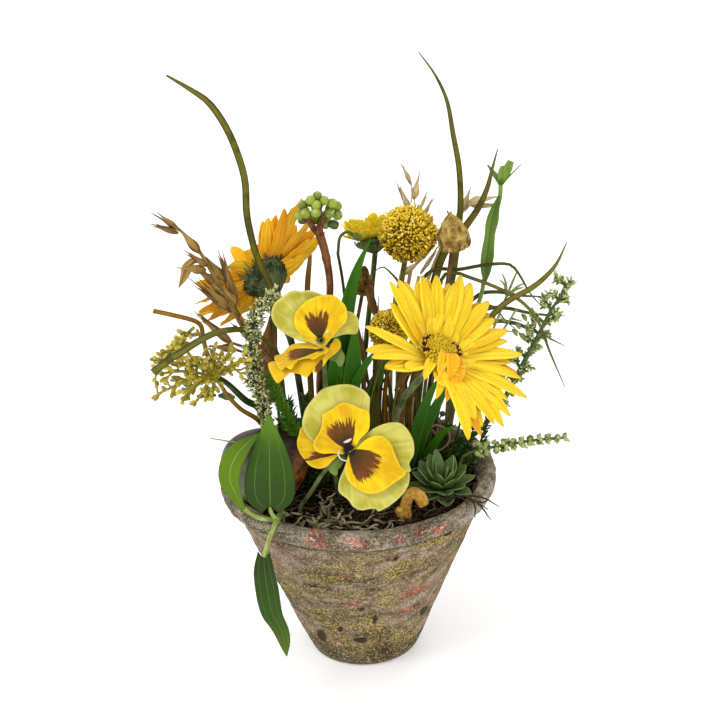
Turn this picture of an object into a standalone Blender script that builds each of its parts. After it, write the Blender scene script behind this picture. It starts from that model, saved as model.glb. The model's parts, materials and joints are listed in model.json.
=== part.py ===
"""A mixed arrangement of silk, plastic and dried stems in an aged terracotta pot.

Lengths in this file are written in millimetres and multiplied by MM. The frame has +Z up and its origin at
the centre of the pot's base, and the side that faces the viewer is at -Y.
"""
import bmesh
import bpy
from math import atan2, cos, hypot, pi, radians, sin, sqrt
from mathutils import Matrix, Vector

MM = 0.001
GAP = 0.3              # left between pieces that touch

# The pot
POT_HEIGHT = 108.0
RIM_RADIUS = 75.0
RIM_INNER_RADIUS = 67.0
RIM_BAND = 9.5         # height of the thick rolled rim
BASE_RADIUS = 30.0
WALL_TOP_RADIUS = 69.0
WALL = 7.5
FLOOR = 9.0
TURNED_STEPS = 36      # sides of every turned piece that meets the pot

# What fills it
FOAM_TOP = 88.0
MOSS_TOP = 98.0
COLLAR = 104.0         # every stem is upright below this height
DEEP_FOOT = 74.0       # where a stem that reaches the foam ends
SHALLOW_FOOT = 89.0    # where a stem near the wall ends, in the moss alone
DEEP_REACH = 46.0      # stems farther out than this from the pot's axis end in the moss
SOCKET_SLACK = 0.35

# Heads: centre, and the direction that each one faces
YELLOW_GERBERA = Vector((44.0, -45.0, 196.0))
YELLOW_GERBERA_AXIS = Vector((0.36, -0.30, 0.88))
ORANGE_GERBERA = Vector((-50.0, 12.0, 220.0))
ORANGE_GERBERA_AXIS = Vector((-0.55, 0.62, 0.56))
DAISY = Vector((8.0, 42.0, 229.0))
DAISY_AXIS = Vector((-0.15, 0.45, 0.88))
PANSY_A = Vector((-16.0, -45.0, 205.0))
PANSY_A_AXIS = Vector((0.05, -0.93, 0.36))
PANSY_A_TRAY_AXIS = Vector((-0.1, -0.12, 0.99))
PANSY_B = Vector((-4.0, -60.0, 151.0))
PANSY_B_AXIS = Vector((0.02, -0.91, 0.42))
LARGE_BALL = Vector((30.0, 2.0, 242.0))
LARGE_BALL_RADIUS = 13.5
SMALL_BALL = Vector((17.0, -6.0, 196.0))
SMALL_BALL_RADIUS = 10.0
CONE_POD = Vector((54.0, -2.0, 242.0))
ROUND_POD = Vector((7.0, 16.0, 210.0))
BERRY_CLUSTER = Vector((-13.0, -5.0, 260.0))
FRUIT = (-48.5, -21.0)
SUCCULENT = (45.0, -13.0)

# Finishes: colour, roughness
TERRACOTTA = ((0.40, 0.34, 0.24), 0.9)
FOAM_GREEN = ((0.10, 0.22, 0.12), 0.95)
DARK_MOSS = ((0.06, 0.05, 0.03), 1.0)
PALE_MOSS = ((0.36, 0.32, 0.22), 1.0)
GREEN_MOSS = ((0.16, 0.17, 0.06), 1.0)
LEAF_GREEN = ((0.10, 0.24, 0.05), 0.5)
STEM_GREEN = ((0.24, 0.33, 0.12), 0.6)
DRY_OLIVE = ((0.27, 0.25, 0.07), 0.7)
DRY_BROWN = ((0.26, 0.18, 0.09), 0.8)
BARK_BROWN = ((0.17, 0.08, 0.04), 0.8)
OAT_TAN = ((0.42, 0.33, 0.18), 0.8)
POD_TAN = ((0.45, 0.36, 0.16), 0.85)
BRIGHT_YELLOW = ((0.90, 0.70, 0.05), 0.75)
PALE_YELLOW = ((0.70, 0.66, 0.25), 0.75)
GOLD = ((0.90, 0.52, 0.03), 0.75)
OCHRE = ((0.60, 0.40, 0.10), 0.6)
FRUIT_BROWN = ((0.12, 0.08, 0.04), 0.5)
BERRY_GREEN = ((0.38, 0.50, 0.14), 0.4)
BEAD_GREEN = ((0.45, 0.50, 0.25), 0.6)
BLUE_GREEN = ((0.16, 0.24, 0.18), 0.6)

sockets = []           # (x, y, radius) of every stem that stands in the moss


def clear_scene():
    for item in list(bpy.data.objects):
        bpy.data.objects.remove(item)


def new_collection(name, hidden=False):
    collection = bpy.data.collections.new(name)
    bpy.context.scene.collection.children.link(collection)
    collection.hide_render = hidden
    return collection


clear_scene()
planter = new_collection("mixed_flower_planter")
cutters = new_collection("cutters", hidden=True)


def painted(item, finish):
    """Gives the object a material of its own, named for it."""
    colour, roughness = finish
    material = bpy.data.materials.new(item.name)
    material.use_nodes = True
    shader = material.node_tree.nodes["Principled BSDF"]
    shader.inputs["Base Color"].default_value = (*colour, 1.0)
    shader.inputs["Roughness"].default_value = roughness
    shader.inputs["Metallic"].default_value = 0.0
    material.diffuse_color = (*colour, 1.0)
    item.data.materials.clear()
    item.data.materials.append(material)
    return item


def mesh_object(name, cage, finish, placed=None):
    """Makes an object from a bmesh whose points are in millimetres, placed by a matrix in millimetres."""
    bmesh.ops.recalc_face_normals(cage, faces=cage.faces)
    mesh = bpy.data.meshes.new(name)
    if placed:
        bmesh.ops.transform(cage, matrix=placed, verts=cage.verts)
    bmesh.ops.scale(cage, vec=(MM, MM, MM), verts=cage.verts)
    cage.to_mesh(mesh)
    cage.free()
    item = bpy.data.objects.new(name, mesh)
    planter.objects.link(item)
    return painted(item, finish)


def facing(centre, axis, across=(1, 0, 0)):
    """The frame of a head: its Z along axis, its X as near to across as it can be."""
    z = Vector(axis).normalized()
    y = z.cross(Vector(across)).normalized()
    x = y.cross(z)
    turn = Matrix((x, y, z)).transposed().to_4x4()
    return Matrix.Translation(Vector(centre)) @ turn


def even_points(points, count):
    """Resamples a run of points to count points at even distances."""
    lengths = [0.0]
    for a, b in zip(points, points[1:]):
        lengths.append(lengths[-1] + (b - a).length)
    result = []
    step = 0
    for i in range(count):
        goal = lengths[-1] * i / (count - 1)
        while step < len(points) - 2 and lengths[step + 1] < goal:
            step += 1
        share = (goal - lengths[step]) / (lengths[step + 1] - lengths[step])
        result.append(points[step].lerp(points[step + 1], share))
    return result


def smooth_route(points, count, start=None):
    """A smooth curve through the points. start is the direction in which it leaves the first one."""
    points = [Vector(p) for p in points]
    lead = (points[1] - points[0]).length
    before = points[0] - Vector(start).normalized() * lead if start else 2 * points[0] - points[1]
    padded = [before, *points, 2 * points[-1] - points[-2]]
    fine = []
    for a, b, c, d in zip(padded, padded[1:], padded[2:], padded[3:]):
        for i in range(10):
            t = i / 10
            fine.append(0.5 * (2 * b + (c - a) * t + (2 * a - 5 * b + 4 * c - d) * t * t
                               + (3 * b - a - 3 * c + d) * t ** 3))
    fine.append(points[-1])
    return even_points(fine, count)


def planted(points, radius, count):
    """The route of a stem that stands in the moss: points start with its (x, y), and a socket is kept for it."""
    x, y = points[0]
    sockets.append((x, y, radius))
    foot = DEEP_FOOT if hypot(x, y) < DEEP_REACH else SHALLOW_FOOT
    route = smooth_route([(x, y, COLLAR), *points[1:]], count, start=(0, 0, 1))
    return [Vector((x, y, foot)), *route]


def radii_along(count, profile):
    """Reads count values off a profile of evenly spaced values."""
    values = []
    for i in range(count):
        place = i / (count - 1) * (len(profile) - 1)
        low = min(int(place), len(profile) - 2)
        values.append(profile[low] + (profile[low + 1] - profile[low]) * (place - low))
    return values


def tube(name, route, radii, finish, resolution=0):
    """A round stem along route, with a radius at each of its points, made as a beveled curve."""
    curve = bpy.data.curves.new(name, "CURVE")
    curve.dimensions = "3D"
    curve.bevel_depth = MM
    curve.bevel_resolution = resolution
    curve.use_fill_caps = True
    spline = curve.splines.new("POLY")
    spline.points.add(len(route) - 1)
    for point, place, radius in zip(spline.points, route, radii):
        point.co = (*(place * MM), 1.0)
        point.radius = radius
    item = bpy.data.objects.new(name, curve)
    planter.objects.link(item)
    return painted(item, finish)


def stem(name, points, profile, finish, count=9, resolution=0):
    """A planted stem. profile gives its radius from the collar to its top."""
    route = planted(points, profile[0], count)
    return tube(name, route, [profile[0], *radii_along(count, profile)], finish, resolution)


def flower_stem(name, points, head, axis, radius, calyx, height, below, count=9):
    """A planted stem with a calyx that widens over height and stops below the centre of its head."""
    axis = axis.normalized()
    neck = head - axis * (height + below)
    route = planted([*points, tuple(neck)], radius, count)
    cup = [head - axis * (below + height * 0.5), head - axis * below]
    return tube(name, [*route, *cup], [radius] * len(route) + [calyx * 0.85, calyx], STEM_GREEN, 1)


def as_mesh(item):
    """Turns a curve object into a closed mesh object, as a Boolean needs."""
    graph = bpy.context.evaluated_depsgraph_get()
    graph.update()
    mesh = bpy.data.meshes.new_from_object(item.evaluated_get(graph))
    cage = bmesh.new()
    cage.from_mesh(mesh)
    bmesh.ops.remove_doubles(cage, verts=cage.verts, dist=0.00001)
    bmesh.ops.recalc_face_normals(cage, faces=cage.faces)
    cage.to_mesh(mesh)
    cage.free()
    name = item.name
    bpy.data.objects.remove(item)
    solid = bpy.data.objects.new(name, mesh)
    planter.objects.link(solid)
    return solid


def joined(name, pieces, finish):
    """One closed body made of pieces that overlap each other."""
    pieces = [as_mesh(piece) if piece.type == "CURVE" else piece for piece in pieces]
    base = pieces[0]
    group = bpy.data.collections.new(name + "_pieces")
    for piece in pieces[1:]:
        group.objects.link(piece)
    modifier = base.modifiers.new("join", "BOOLEAN")
    modifier.operation = "UNION"
    modifier.solver = "EXACT"
    modifier.operand_type = "COLLECTION"
    modifier.collection = group
    graph = bpy.context.evaluated_depsgraph_get()
    graph.update()
    mesh = bpy.data.meshes.new_from_object(base.evaluated_get(graph))
    for piece in pieces:
        bpy.data.objects.remove(piece)
    bpy.data.collections.remove(group)
    solid = bpy.data.objects.new(name, mesh)
    planter.objects.link(solid)
    return painted(solid, finish)


def turned(name, profile, finish, steps=TURNED_STEPS, placed=None):
    """A turned piece. profile is (radius, height) from its top on the axis, down its outer side, to the axis."""
    mesh = bpy.data.meshes.new(name)
    points = [(radius * MM, 0, height * MM) for radius, height in profile]
    mesh.from_pydata(points, [(i, i + 1) for i in range(len(points) - 1)], [])
    item = bpy.data.objects.new(name, mesh)
    planter.objects.link(item)
    screw = item.modifiers.new("turn", "SCREW")
    screw.steps = steps
    screw.render_steps = steps
    screw.use_merge_vertices = True
    screw.merge_threshold = 0.00001
    screw.use_smooth_shade = True
    if placed:
        item.matrix_world = Matrix.Translation(placed.to_translation() * MM) @ placed.to_3x3().to_4x4()
    return painted(item, finish)


def thickened(item, thickness):
    """Gives an open sheet its thickness, half on each side."""
    solidify = item.modifiers.new("thickness", "SOLIDIFY")
    solidify.thickness = thickness * MM
    solidify.offset = 0
    return item


def blade(name, route, widths, normal, thickness, finish, fold=0.0, columns=2):
    """A leaf along route: widths from foot to tip, and a fold that lifts its two edges by a share of the width."""
    rows = len(route) - 1
    widths = radii_along(len(route), widths)
    cage = bmesh.new()
    bmesh.ops.create_grid(cage, x_segments=columns, y_segments=rows, size=1.0)
    for vertex in cage.verts:
        place = round((vertex.co.y + 1) / 2 * rows)
        before = route[max(place - 1, 0)]
        after = route[min(place + 1, rows)]
        along = (after - before).normalized()
        across = along.cross(Vector(normal)).normalized()
        lift = across.cross(along)
        half = widths[place] / 2
        vertex.co = route[place] + across * vertex.co.x * half + lift * abs(vertex.co.x) * half * fold
    return thickened(mesh_object(name, cage, finish), thickness)


def plate(name, placed, outline, height, finish, rings=(0.5, 1.0), spokes=24, thickness=0.8):
    """A thin petal layer: outline(angle) is its reach, height(x, y) its rise along the head's axis."""
    cage = bmesh.new()
    centre = cage.verts.new((0, 0, height(0, 0)))
    inner = None
    for share in rings:
        ring = []
        for i in range(spokes):
            angle = 2 * pi * i / spokes
            x = outline(angle) * share * cos(angle)
            y = outline(angle) * share * sin(angle)
            ring.append(cage.verts.new((x, y, height(x, y))))
        for i in range(spokes):
            j = (i + 1) % spokes
            cage.faces.new((inner[i], ring[i], ring[j], inner[j]) if inner else (centre, ring[i], ring[j]))
        inner = ring
    return thickened(mesh_object(name, cage, finish, placed), thickness)


def star(tip, notch, count):
    """The outline of a ring of count pointed rays."""
    def outline(angle):
        place = angle * count / (2 * pi)
        near = abs(place - round(place)) * 2
        long = tip * (1 + 0.07 * sin(2.3 * round(place)))
        return long + (notch - long) * near
    return outline


def lobes(parts, hub):
    """The outline of a petal layer with lobes, each a (direction in degrees, reach, half width in degrees)."""
    def outline(angle):
        reach = hub
        for direction, length, half in parts:
            away = abs((angle - radians(direction) + pi) % (2 * pi) - pi) / radians(half)
            if away < 1:
                reach = max(reach, hub + (length - hub) * sqrt(1 - away ** 2.6))
        return reach
    return outline


def ball(name, centre, size, finish, segments=8, rings=6, turn=None):
    """A round or long bead. size is its half length along X, Y and Z, before turn."""
    cage = bmesh.new()
    bmesh.ops.create_uvsphere(cage, u_segments=segments, v_segments=rings, radius=1.0)
    bmesh.ops.scale(cage, vec=size, verts=cage.verts)
    placed = Matrix.Translation(Vector(centre)) @ (turn.to_4x4() if turn else Matrix())
    return mesh_object(name, cage, finish, placed)


def spindle(name, tail, tip, radius, finish, segments=5):
    """A long bead from tail to tip, as a husk or a bud is."""
    tail = Vector(tail)
    tip = Vector(tip)
    turn = (tip - tail).to_track_quat("Z", "Y").to_matrix()
    size = (radius, radius, (tip - tail).length / 2)
    return ball(name, (tail + tip) / 2, size, finish, segments, 4, turn)


# The pot: one thrown terracotta piece with a thick rolled rim

def inner_wall(height):
    """The radius of the pot's hollow at a height."""
    share = (height - FLOOR) / (POT_HEIGHT - RIM_BAND - FLOOR)
    return BASE_RADIUS - WALL + (WALL_TOP_RADIUS - BASE_RADIUS) * share


pot_profile = [
    (0, FLOOR), (inner_wall(FLOOR), FLOOR), (inner_wall(MOSS_TOP), MOSS_TOP),
    (RIM_INNER_RADIUS, POT_HEIGHT - 1.6), (RIM_INNER_RADIUS + 1.6, POT_HEIGHT),
    (RIM_RADIUS - 2.2, POT_HEIGHT), (RIM_RADIUS - 0.4, POT_HEIGHT - 1.6), (RIM_RADIUS, POT_HEIGHT - 4.0),
    (RIM_RADIUS - 1.2, POT_HEIGHT - RIM_BAND), (WALL_TOP_RADIUS + 0.6, POT_HEIGHT - RIM_BAND - 1.2),
    (BASE_RADIUS + 1.2, 3.0), (BASE_RADIUS - 1.4, 0), (0, 0),
]
turned("pot", pot_profile, TERRACOTTA)


# What the stems stand in: a foam block, and the moss laid over it

foam_foot = FLOOR + GAP
foam_profile = [
    (0, FOAM_TOP), (inner_wall(FOAM_TOP) - 0.5, FOAM_TOP),
    (inner_wall(foam_foot) - 0.5, foam_foot), (0, foam_foot),
]
foam = turned("floral_foam", foam_profile, FOAM_GREEN)
bed_foot = FOAM_TOP + GAP
bed_profile = [
    (0, MOSS_TOP), (inner_wall(MOSS_TOP) - 0.6, MOSS_TOP),
    (inner_wall(bed_foot) - 0.5, bed_foot), (0, bed_foot),
]
bed = turned("moss_bed", bed_profile, DARK_MOSS)


def clump(name, centre, reach, rise, finish, spokes=14):
    """A low heap of moss on the bed, with an uneven edge: reach along X and Y."""
    cage = bmesh.new()
    low = MOSS_TOP + GAP
    rows = []
    for share, height in ((1.0, 0.0), (1.0, 0.45), (0.6, 1.0)):
        row = []
        for i in range(spokes):
            angle = 2 * pi * i / spokes
            uneven = 1 + 0.10 * sin(3 * angle + centre[0]) * share
            x = centre[0] + reach[0] * share * uneven * cos(angle)
            y = centre[1] + reach[1] * share * uneven * sin(angle)
            lumps = 1 + 0.15 * sin(2 * angle + centre[1]) if height == 1.0 else 1
            row.append(cage.verts.new((x, y, low + rise * height * lumps)))
        rows.append(row)
    cage.faces.new(rows[0])
    cage.faces.new(rows[-1])
    for a, b in zip(rows, rows[1:]):
        for i in range(spokes):
            j = (i + 1) % spokes
            cage.faces.new((a[i], a[j], b[j], b[i]))
    return mesh_object(name, cage, finish)


reindeer_moss = clump("reindeer_moss", (-7.0, -41.0), (24.0, 14.0), 5.0, PALE_MOSS)
green_moss = clump("green_moss", (50.0, 21.5), (5.0, 8.0), 4.6, GREEN_MOSS, spokes=10)


# The round dried fruit: wide above, narrow where it sits in the moss

fruit_foot = MOSS_TOP + GAP
fruit_profile = [
    (0, fruit_foot + 42), (9, fruit_foot + 41), (17, fruit_foot + 36.5), (21.5, fruit_foot + 30),
    (22.3, fruit_foot + 23.5), (18.5, fruit_foot + 15.5), (13, fruit_foot + 8), (8, fruit_foot + 2),
    (5, fruit_foot), (0, fruit_foot),
]
turned("round_fruit", fruit_profile, FRUIT_BROWN, steps=16, placed=Matrix.Translation((*FRUIT, 0)))


# The succulent: a stub with rings of fleshy leaves that curve up and out

succulent_rings = (   # leaves, reach, height of the tip, turn in degrees, half width
    (7, 20.0, 15.5, 10, 3.8),
    (5, 13.5, 22.0, 30, 3.4),
    (2, 6.0, 25.5, 0, 2.8),
)


def succulent_leaf(direction, reach, rise, half_width):
    heading = Vector((cos(direction), sin(direction), 0))
    heart = Vector((*SUCCULENT, MOSS_TOP + 5))
    middle = heart + heading * reach * 0.55 + Vector((0, 0, (rise - 5) * 0.35))
    tip = heart + heading * reach + Vector((0, 0, rise - 5))
    route = smooth_route([heart, middle, tip], 4)
    normal = Vector((-heading.x * 0.6, -heading.y * 0.6, 1))
    widths = (2.0, half_width * 1.9, half_width * 2.0, 1.2)
    return blade("leaf", route, widths, normal, 1.8, LEAF_GREEN, fold=0.25)


rosette_pieces = [ball("heart", (*SUCCULENT, MOSS_TOP + 5.4), (4.6, 4.6, 5.0), LEAF_GREEN, 8, 6)]
for count, reach, rise, turn, half_width in succulent_rings:
    for i in range(count):
        direction = radians(turn) + 2 * pi * i / count
        rosette_pieces.append(succulent_leaf(direction, reach, rise, half_width))
joined("succulent_rosette", rosette_pieces, LEAF_GREEN)


# The bent pod stub and the root twigs that hang over the rim

stub_route = smooth_route([(21, -42, MOSS_TOP + GAP), (21.5, -42, 106), (26, -43, 111.5), (31, -44, 107.5),
                           (32, -44.5, 101.5)], 7, start=(0, 0, 1))
tube("ochre_stub", stub_route, (3.0, 3.1, 3.2, 3.2, 3.0, 2.6, 2.2), OCHRE, 1)
twig_route = planted([(46, -32), (53, -37, 109), (62, -42, 110.5), (69, -45, 110), (75, -49, 106)], 0.8, 7)
tube("rim_twigs", twig_route, (0.8, 0.8, 0.9, 0.8, 0.7, 0.6, 0.5, 0.4), BARK_BROWN)


# Pansy A: the upper one. Its back and upper petals face the viewer, its lower petals stick out level

def pansy_ruffle(x, y):
    """The shared shape of one pansy's layers: a shallow cup with a wavy edge."""
    reach = hypot(x, y)
    return 0.006 * reach * reach + 0.05 * reach * sin(3 * atan2(y, x))


def layer(depth):
    """The same ruffle at a depth along the head's axis."""
    return lambda x, y: pansy_ruffle(x, y) + depth


pansy_a_frame = facing(PANSY_A, PANSY_A_AXIS)
pansy_a_tray = facing(PANSY_A + Vector((0, -6.2, -3.6)), PANSY_A_TRAY_AXIS)
flower_stem("pansy_a_stem", [(-12, -8), (-14, -12, 130), (-15, -22, 165), (-15, -31, 188)], PANSY_A,
            PANSY_A_AXIS, 1.2, 2.2, 4.0, 0.5)
plate("pansy_a_back_petals", pansy_a_frame, lobes(((142, 30, 62), (25, 20, 40)), 4.0), layer(0.5), PALE_YELLOW)
plate("pansy_a_upper_petal", pansy_a_frame, lobes(((88, 25, 68),), 3.5), layer(2.2), BRIGHT_YELLOW)
plate("pansy_a_lower_petals", pansy_a_tray, lobes(((214, 27, 50), (300, 17, 42)), 3.0),
      lambda x, y: -0.009 * (x * x + y * y), BRIGHT_YELLOW)


# Pansy B: the lower one, which faces the viewer

pansy_b_frame = facing(PANSY_B, PANSY_B_AXIS)
flower_stem("pansy_b_stem", [(-26, -31), (-23, -39, 116), (-14, -45, 133)], PANSY_B, PANSY_B_AXIS,
            1.1, 2.2, 4.0, 0.5, 8)
plate("pansy_b_left_petal", pansy_b_frame, lobes(((184, 26, 34),), 3.0), layer(0.5), BRIGHT_YELLOW)
plate("pansy_b_back_petals", pansy_b_frame,
      lobes(((106, 32, 48), (14, 32, 36), (-62, 33, 42)), 4.0), layer(2.0), PALE_YELLOW)
plate("pansy_b_front_petals", pansy_b_frame, lobes(((108, 24, 72), (-30, 25, 62)), 4.0), layer(3.7), BRIGHT_YELLOW)


# The yellow gerbera: cupped rays behind, drooping rays at the lower right

def gerbera_rise(x, y):
    """Rays rise towards the back of the head and droop at its right front."""
    angle = atan2(y, x)
    slope = 0.22 + 0.22 * sin(angle) - 0.20 * cos(angle)
    reach = hypot(x, y)
    return slope * max(reach - 8.0, 0) - 0.006 * max(reach - 20.0, 0) ** 2


yellow_frame = facing(YELLOW_GERBERA, YELLOW_GERBERA_AXIS)
flower_stem("yellow_gerbera_stem", [(19, 3), (20, -2, 120), (21, -12, 142), (25, -25, 160), (32, -35, 174)],
            YELLOW_GERBERA, YELLOW_GERBERA_AXIS, 1.7, 6.0, 8.0, 1.2)
plate("yellow_gerbera_outer_petals", yellow_frame, star(43, 15, 17), gerbera_rise, BRIGHT_YELLOW,
      (0.3, 0.62, 1.0), 34)
plate("yellow_gerbera_inner_petals", yellow_frame, star(24, 12, 10),
      lambda x, y: 1.6 + 0.25 * max(hypot(x, y) - 4, 0) + gerbera_rise(x, y), BRIGHT_YELLOW, (0.5, 1.0), 20)
disc_profile = ((0, 4.6), (5, 4.2), (8.5, 3.0), (9.5, 1.2), (8.5, 0), (0, 0))
turned("yellow_gerbera_disc", disc_profile, GOLD, 12, yellow_frame @ Matrix.Translation((0, 0, 5.0)))


# The orange gerbera: it faces up and away, so that the viewer sees its calyx and the backs of its rays

orange_frame = facing(ORANGE_GERBERA, ORANGE_GERBERA_AXIS)
flower_stem("orange_gerbera_stem", [(-28, 37), (-30, 32, 140), (-33, 20, 175), (-37, 8, 198)], ORANGE_GERBERA,
            ORANGE_GERBERA_AXIS, 1.7, 7.0, 11.0, 0.9)
plate("orange_gerbera_outer_petals", orange_frame, star(42, 15, 15),
      lambda x, y: 0.30 * max(hypot(x, y) - 5, 0), GOLD, (0.35, 1.0), 30)
plate("orange_gerbera_inner_petals", orange_frame, star(26, 11, 9),
      lambda x, y: 1.6 + 0.62 * max(hypot(x, y) - 4, 0), GOLD, (0.5, 1.0), 18)
turned("orange_gerbera_disc", disc_profile, OCHRE, 12, orange_frame @ Matrix.Translation((0, 0, 6.0)))


# The daisy: small, on a thin stem, seen from its side

daisy_frame = facing(DAISY, DAISY_AXIS)
flower_stem("daisy_stem", [(4, 47), (4, 46, 150), (8, 40, 200)], DAISY, DAISY_AXIS, 1.2, 6.0, 7.0, 0.8)
daisy_petals = plate("petals", daisy_frame, star(15.5, 9, 12), lambda x, y: 0.55 * max(hypot(x, y) - 4, 0),
                     BRIGHT_YELLOW, (0.4, 1.0), 24)
daisy_disc = turned("disc", ((0, 3.6), (3, 3.0), (4, 1.8), (3.4, 0), (0, 0)), OCHRE, 10, daisy_frame)
joined("daisy_flower", [daisy_petals, daisy_disc], BRIGHT_YELLOW)


# The two billy buttons and the two pods: each is one dried piece, a head grown on its stem

def dried_head(name, points, centre, head, radius, count=7):
    """A head grown on its stem. The stem runs into the middle of the head."""
    stalk = stem(name + "_stalk", [*points, tuple(centre)], (radius, radius, radius * 0.9), DRY_OLIVE, count)
    return joined(name, [stalk, head], POD_TAN)


dried_head("large_billy_button", [(12, 27), (15, 25, 150), (25, 12, 200)], LARGE_BALL,
           ball("head", LARGE_BALL, [LARGE_BALL_RADIUS] * 3, BRIGHT_YELLOW, 12, 9), 1.2)
dried_head("small_billy_button", [(9, 14), (10, 10, 140), (14, 0, 170)], SMALL_BALL,
           ball("head", SMALL_BALL, [SMALL_BALL_RADIUS] * 3, BRIGHT_YELLOW, 10, 8), 1.1)
cone_pod_profile = ((0, 11), (3, 8.5), (5.2, 4.5), (7.4, -2), (7.6, -4.5), (5.5, -7), (0, -7.6))
dried_head("cone_pod", [(38, 17), (42, 12, 160), (50, 0, 210)], CONE_POD,
           turned("head", cone_pod_profile, POD_TAN, 10, facing(CONE_POD, (-0.12, -0.05, 1))), 1.2)
dried_head("round_pod", [(-6, 36), (-4, 34, 150), (3, 24, 185)], ROUND_POD,
           ball("head", ROUND_POD, (5, 5, 6.5), POD_TAN, 8, 6), 0.9)


# The berries: a bunch of green berries on a forked brown stem

berry_stem_top = BERRY_CLUSTER - Vector((0, 0, 7.6))
stem("berry_stem", [(-17, 21), (-19, 15, 150), (-14, 6, 189), (-10, 2, 213), (-11, -1, 231),
                    tuple(berry_stem_top)],
     (2.2, 2.2, 2.2, 2.3, 2.3, 3.0), BARK_BROWN, 11, 1)
berries = [ball("bunch", BERRY_CLUSTER, (8.5, 7.5, 7.0), BERRY_GREEN, 8, 6)]
berry_places = ((-8, -1, 1), (-5, -6, 4), (1, -7, 1), (7, -5, 3), (10, 0, -1), (6, 5, 3), (0, 7, 1), (-6, 6, 2),
                (-3, -1, 7), (4, 1, 7), (8, -4, -4), (-7, 3, -3))
for x, y, z in berry_places:
    berries.append(ball("berry", BERRY_CLUSTER + Vector((x, y, z)), (2.9, 2.9, 2.9), BERRY_GREEN, 6, 5))
joined("berry_cluster", berries, BERRY_GREEN)


# Oats: a stalk and the husks that grow from it. Each husk is given by its tail and its tip

def oats(name, points, profile, husks, count=9):
    pieces = [stem(name + "_stalk", points, profile, OAT_TAN, count)]
    for tail, tip in husks:
        pieces.append(spindle("husk", tail, tip, 1.9, OAT_TAN))
    return joined(name, pieces, OAT_TAN)


oats("left_oats", [(-34, 14), (-43, 6, 157), (-53, 0, 180), (-60, -5, 201), (-68, -9, 222), (-76, -10, 241),
                   (-87, -11, 254)], (1.3, 1.3, 1.3, 1.2, 1.0, 0.8),
     (((-74, -10, 239), (-87, -13, 254)), ((-83, -11, 250), (-97, -10, 263)), ((-84, -11, 251), (-98, -12, 256)),
      ((-66, -9, 218), (-84, -10, 229)), ((-66, -8, 219), (-80, -12, 234)), ((-62, -6, 207), (-78, -12, 221)),
      ((-60, -5, 201), (-64, -6, 225)), ((-57, -3, 194), (-74, -12, 204)), ((-54, -1, 184), (-66, -11, 188))))
oats("back_oats", [(19, 47), (22, 45, 170), (30, 41, 215), (33, 40, 245)], (1.3, 1.3, 1.1, 0.7),
     (((32.5, 40, 238), (26, 40, 262)), ((33, 40, 243), (31, 41, 268)), ((33, 40, 243), (37, 40, 270)),
      ((32, 40.5, 234), (44, 40, 254)), ((31, 41, 226), (44, 38, 246))), 8)
oats("right_oats", [(31, 46), (35, 44, 170), (46, 40, 210), (60, 37, 237), (70, 36, 245)],
     (1.2, 1.2, 1.0, 0.6),
     (((64, 37, 240), (83, 36, 250)), ((58, 37.5, 233), (69, 37, 257)), ((66, 36.5, 242), (80, 37, 243)),
      ((54, 38.5, 225), (66, 36, 238))), 8)


# Tall blades, a short brown one, and the two stems that arch out to the left

stem("tall_left_blade", [(-42, 22), (-43, 10, 165), (-43, 0, 190), (-43, -7, 218), (-47, -10, 237),
                         (-51, -10, 261), (-53, -10, 283), (-57, -9, 300), (-65, -8, 315), (-74, -8, 327),
                         (-85, -8, 334)],
     (1.5, 1.5, 1.5, 1.4, 1.2, 0.5), DRY_OLIVE, 16)
stem("tall_centre_blade", [(37, 37), (48, 31, 174), (55, 28, 207), (59, 22, 243), (59, 20, 268), (56, 18, 289),
                           (53, 15, 308), (47, 12, 323), (40, 8, 335)],
     (1.6, 1.6, 1.6, 1.5, 1.3, 0.5), DRY_OLIVE, 15)
stem("tall_right_blade", [(32, 29), (39, 27, 171), (48, 24, 216), (60, 18, 238), (68, 15, 249), (72, 12, 259),
                          (75, 9, 271), (78, 6, 283)],
     (1.6, 1.6, 1.6, 1.6, 1.5, 0.5), DRY_OLIVE, 13)
stem("brown_blade", [(-24, 28), (-24, 27, 178), (-23, 27, 204), (-21, 27, 220), (-20, 27, 231)],
     (1.4, 1.5, 1.4, 0.5), DRY_BROWN, 8)
stem("low_left_arc", [(-45, 9), (-52, 2, 137), (-60, -8, 149), (-67, -15, 164), (-74, -18, 179), (-76, -21, 197),
                      (-79, -25, 208), (-89, -30, 215), (-101, -36, 220)],
     (1.3, 1.3, 1.3, 1.2, 1.0), BARK_BROWN, 14)
stem("high_left_arc", [(-37, 3), (-37, -1, 160), (-41, -9, 183), (-48, -16, 194), (-58, -22, 202),
                       (-69, -28, 204), (-82, -33, 200), (-93, -37, 194), (-103, -41, 188)],
     (1.2, 1.2, 1.3, 1.5, 1.4), DRY_OLIVE, 14)


# Thin grasses that arch out to the right, in two tufts. Each tuft is one piece, its blades grown on one foot

def tuft(name, root, blades):
    x, y = root
    sockets.append((x, y, 2.4))
    foot = DEEP_FOOT if hypot(x, y) < DEEP_REACH else SHALLOW_FOOT
    crown = COLLAR + 3
    pieces = [tube(name + "_foot", [Vector((x, y, foot)), Vector((x, y, crown))], (2.4, 2.4), DRY_OLIVE, 1)]
    for i, (points, count) in enumerate(blades):
        turn = 2 * pi * i / len(blades)
        start = (x + 1.1 * cos(turn), y + 1.1 * sin(turn), crown - 4)
        route = smooth_route([start, *points], count, start=(0, 0, 1))
        pieces.append(tube("blade", route, radii_along(count, (0.9, 0.9, 0.9, 0.8, 0.5)), DRY_OLIVE))
    return joined(name, pieces, DRY_OLIVE)


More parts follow.
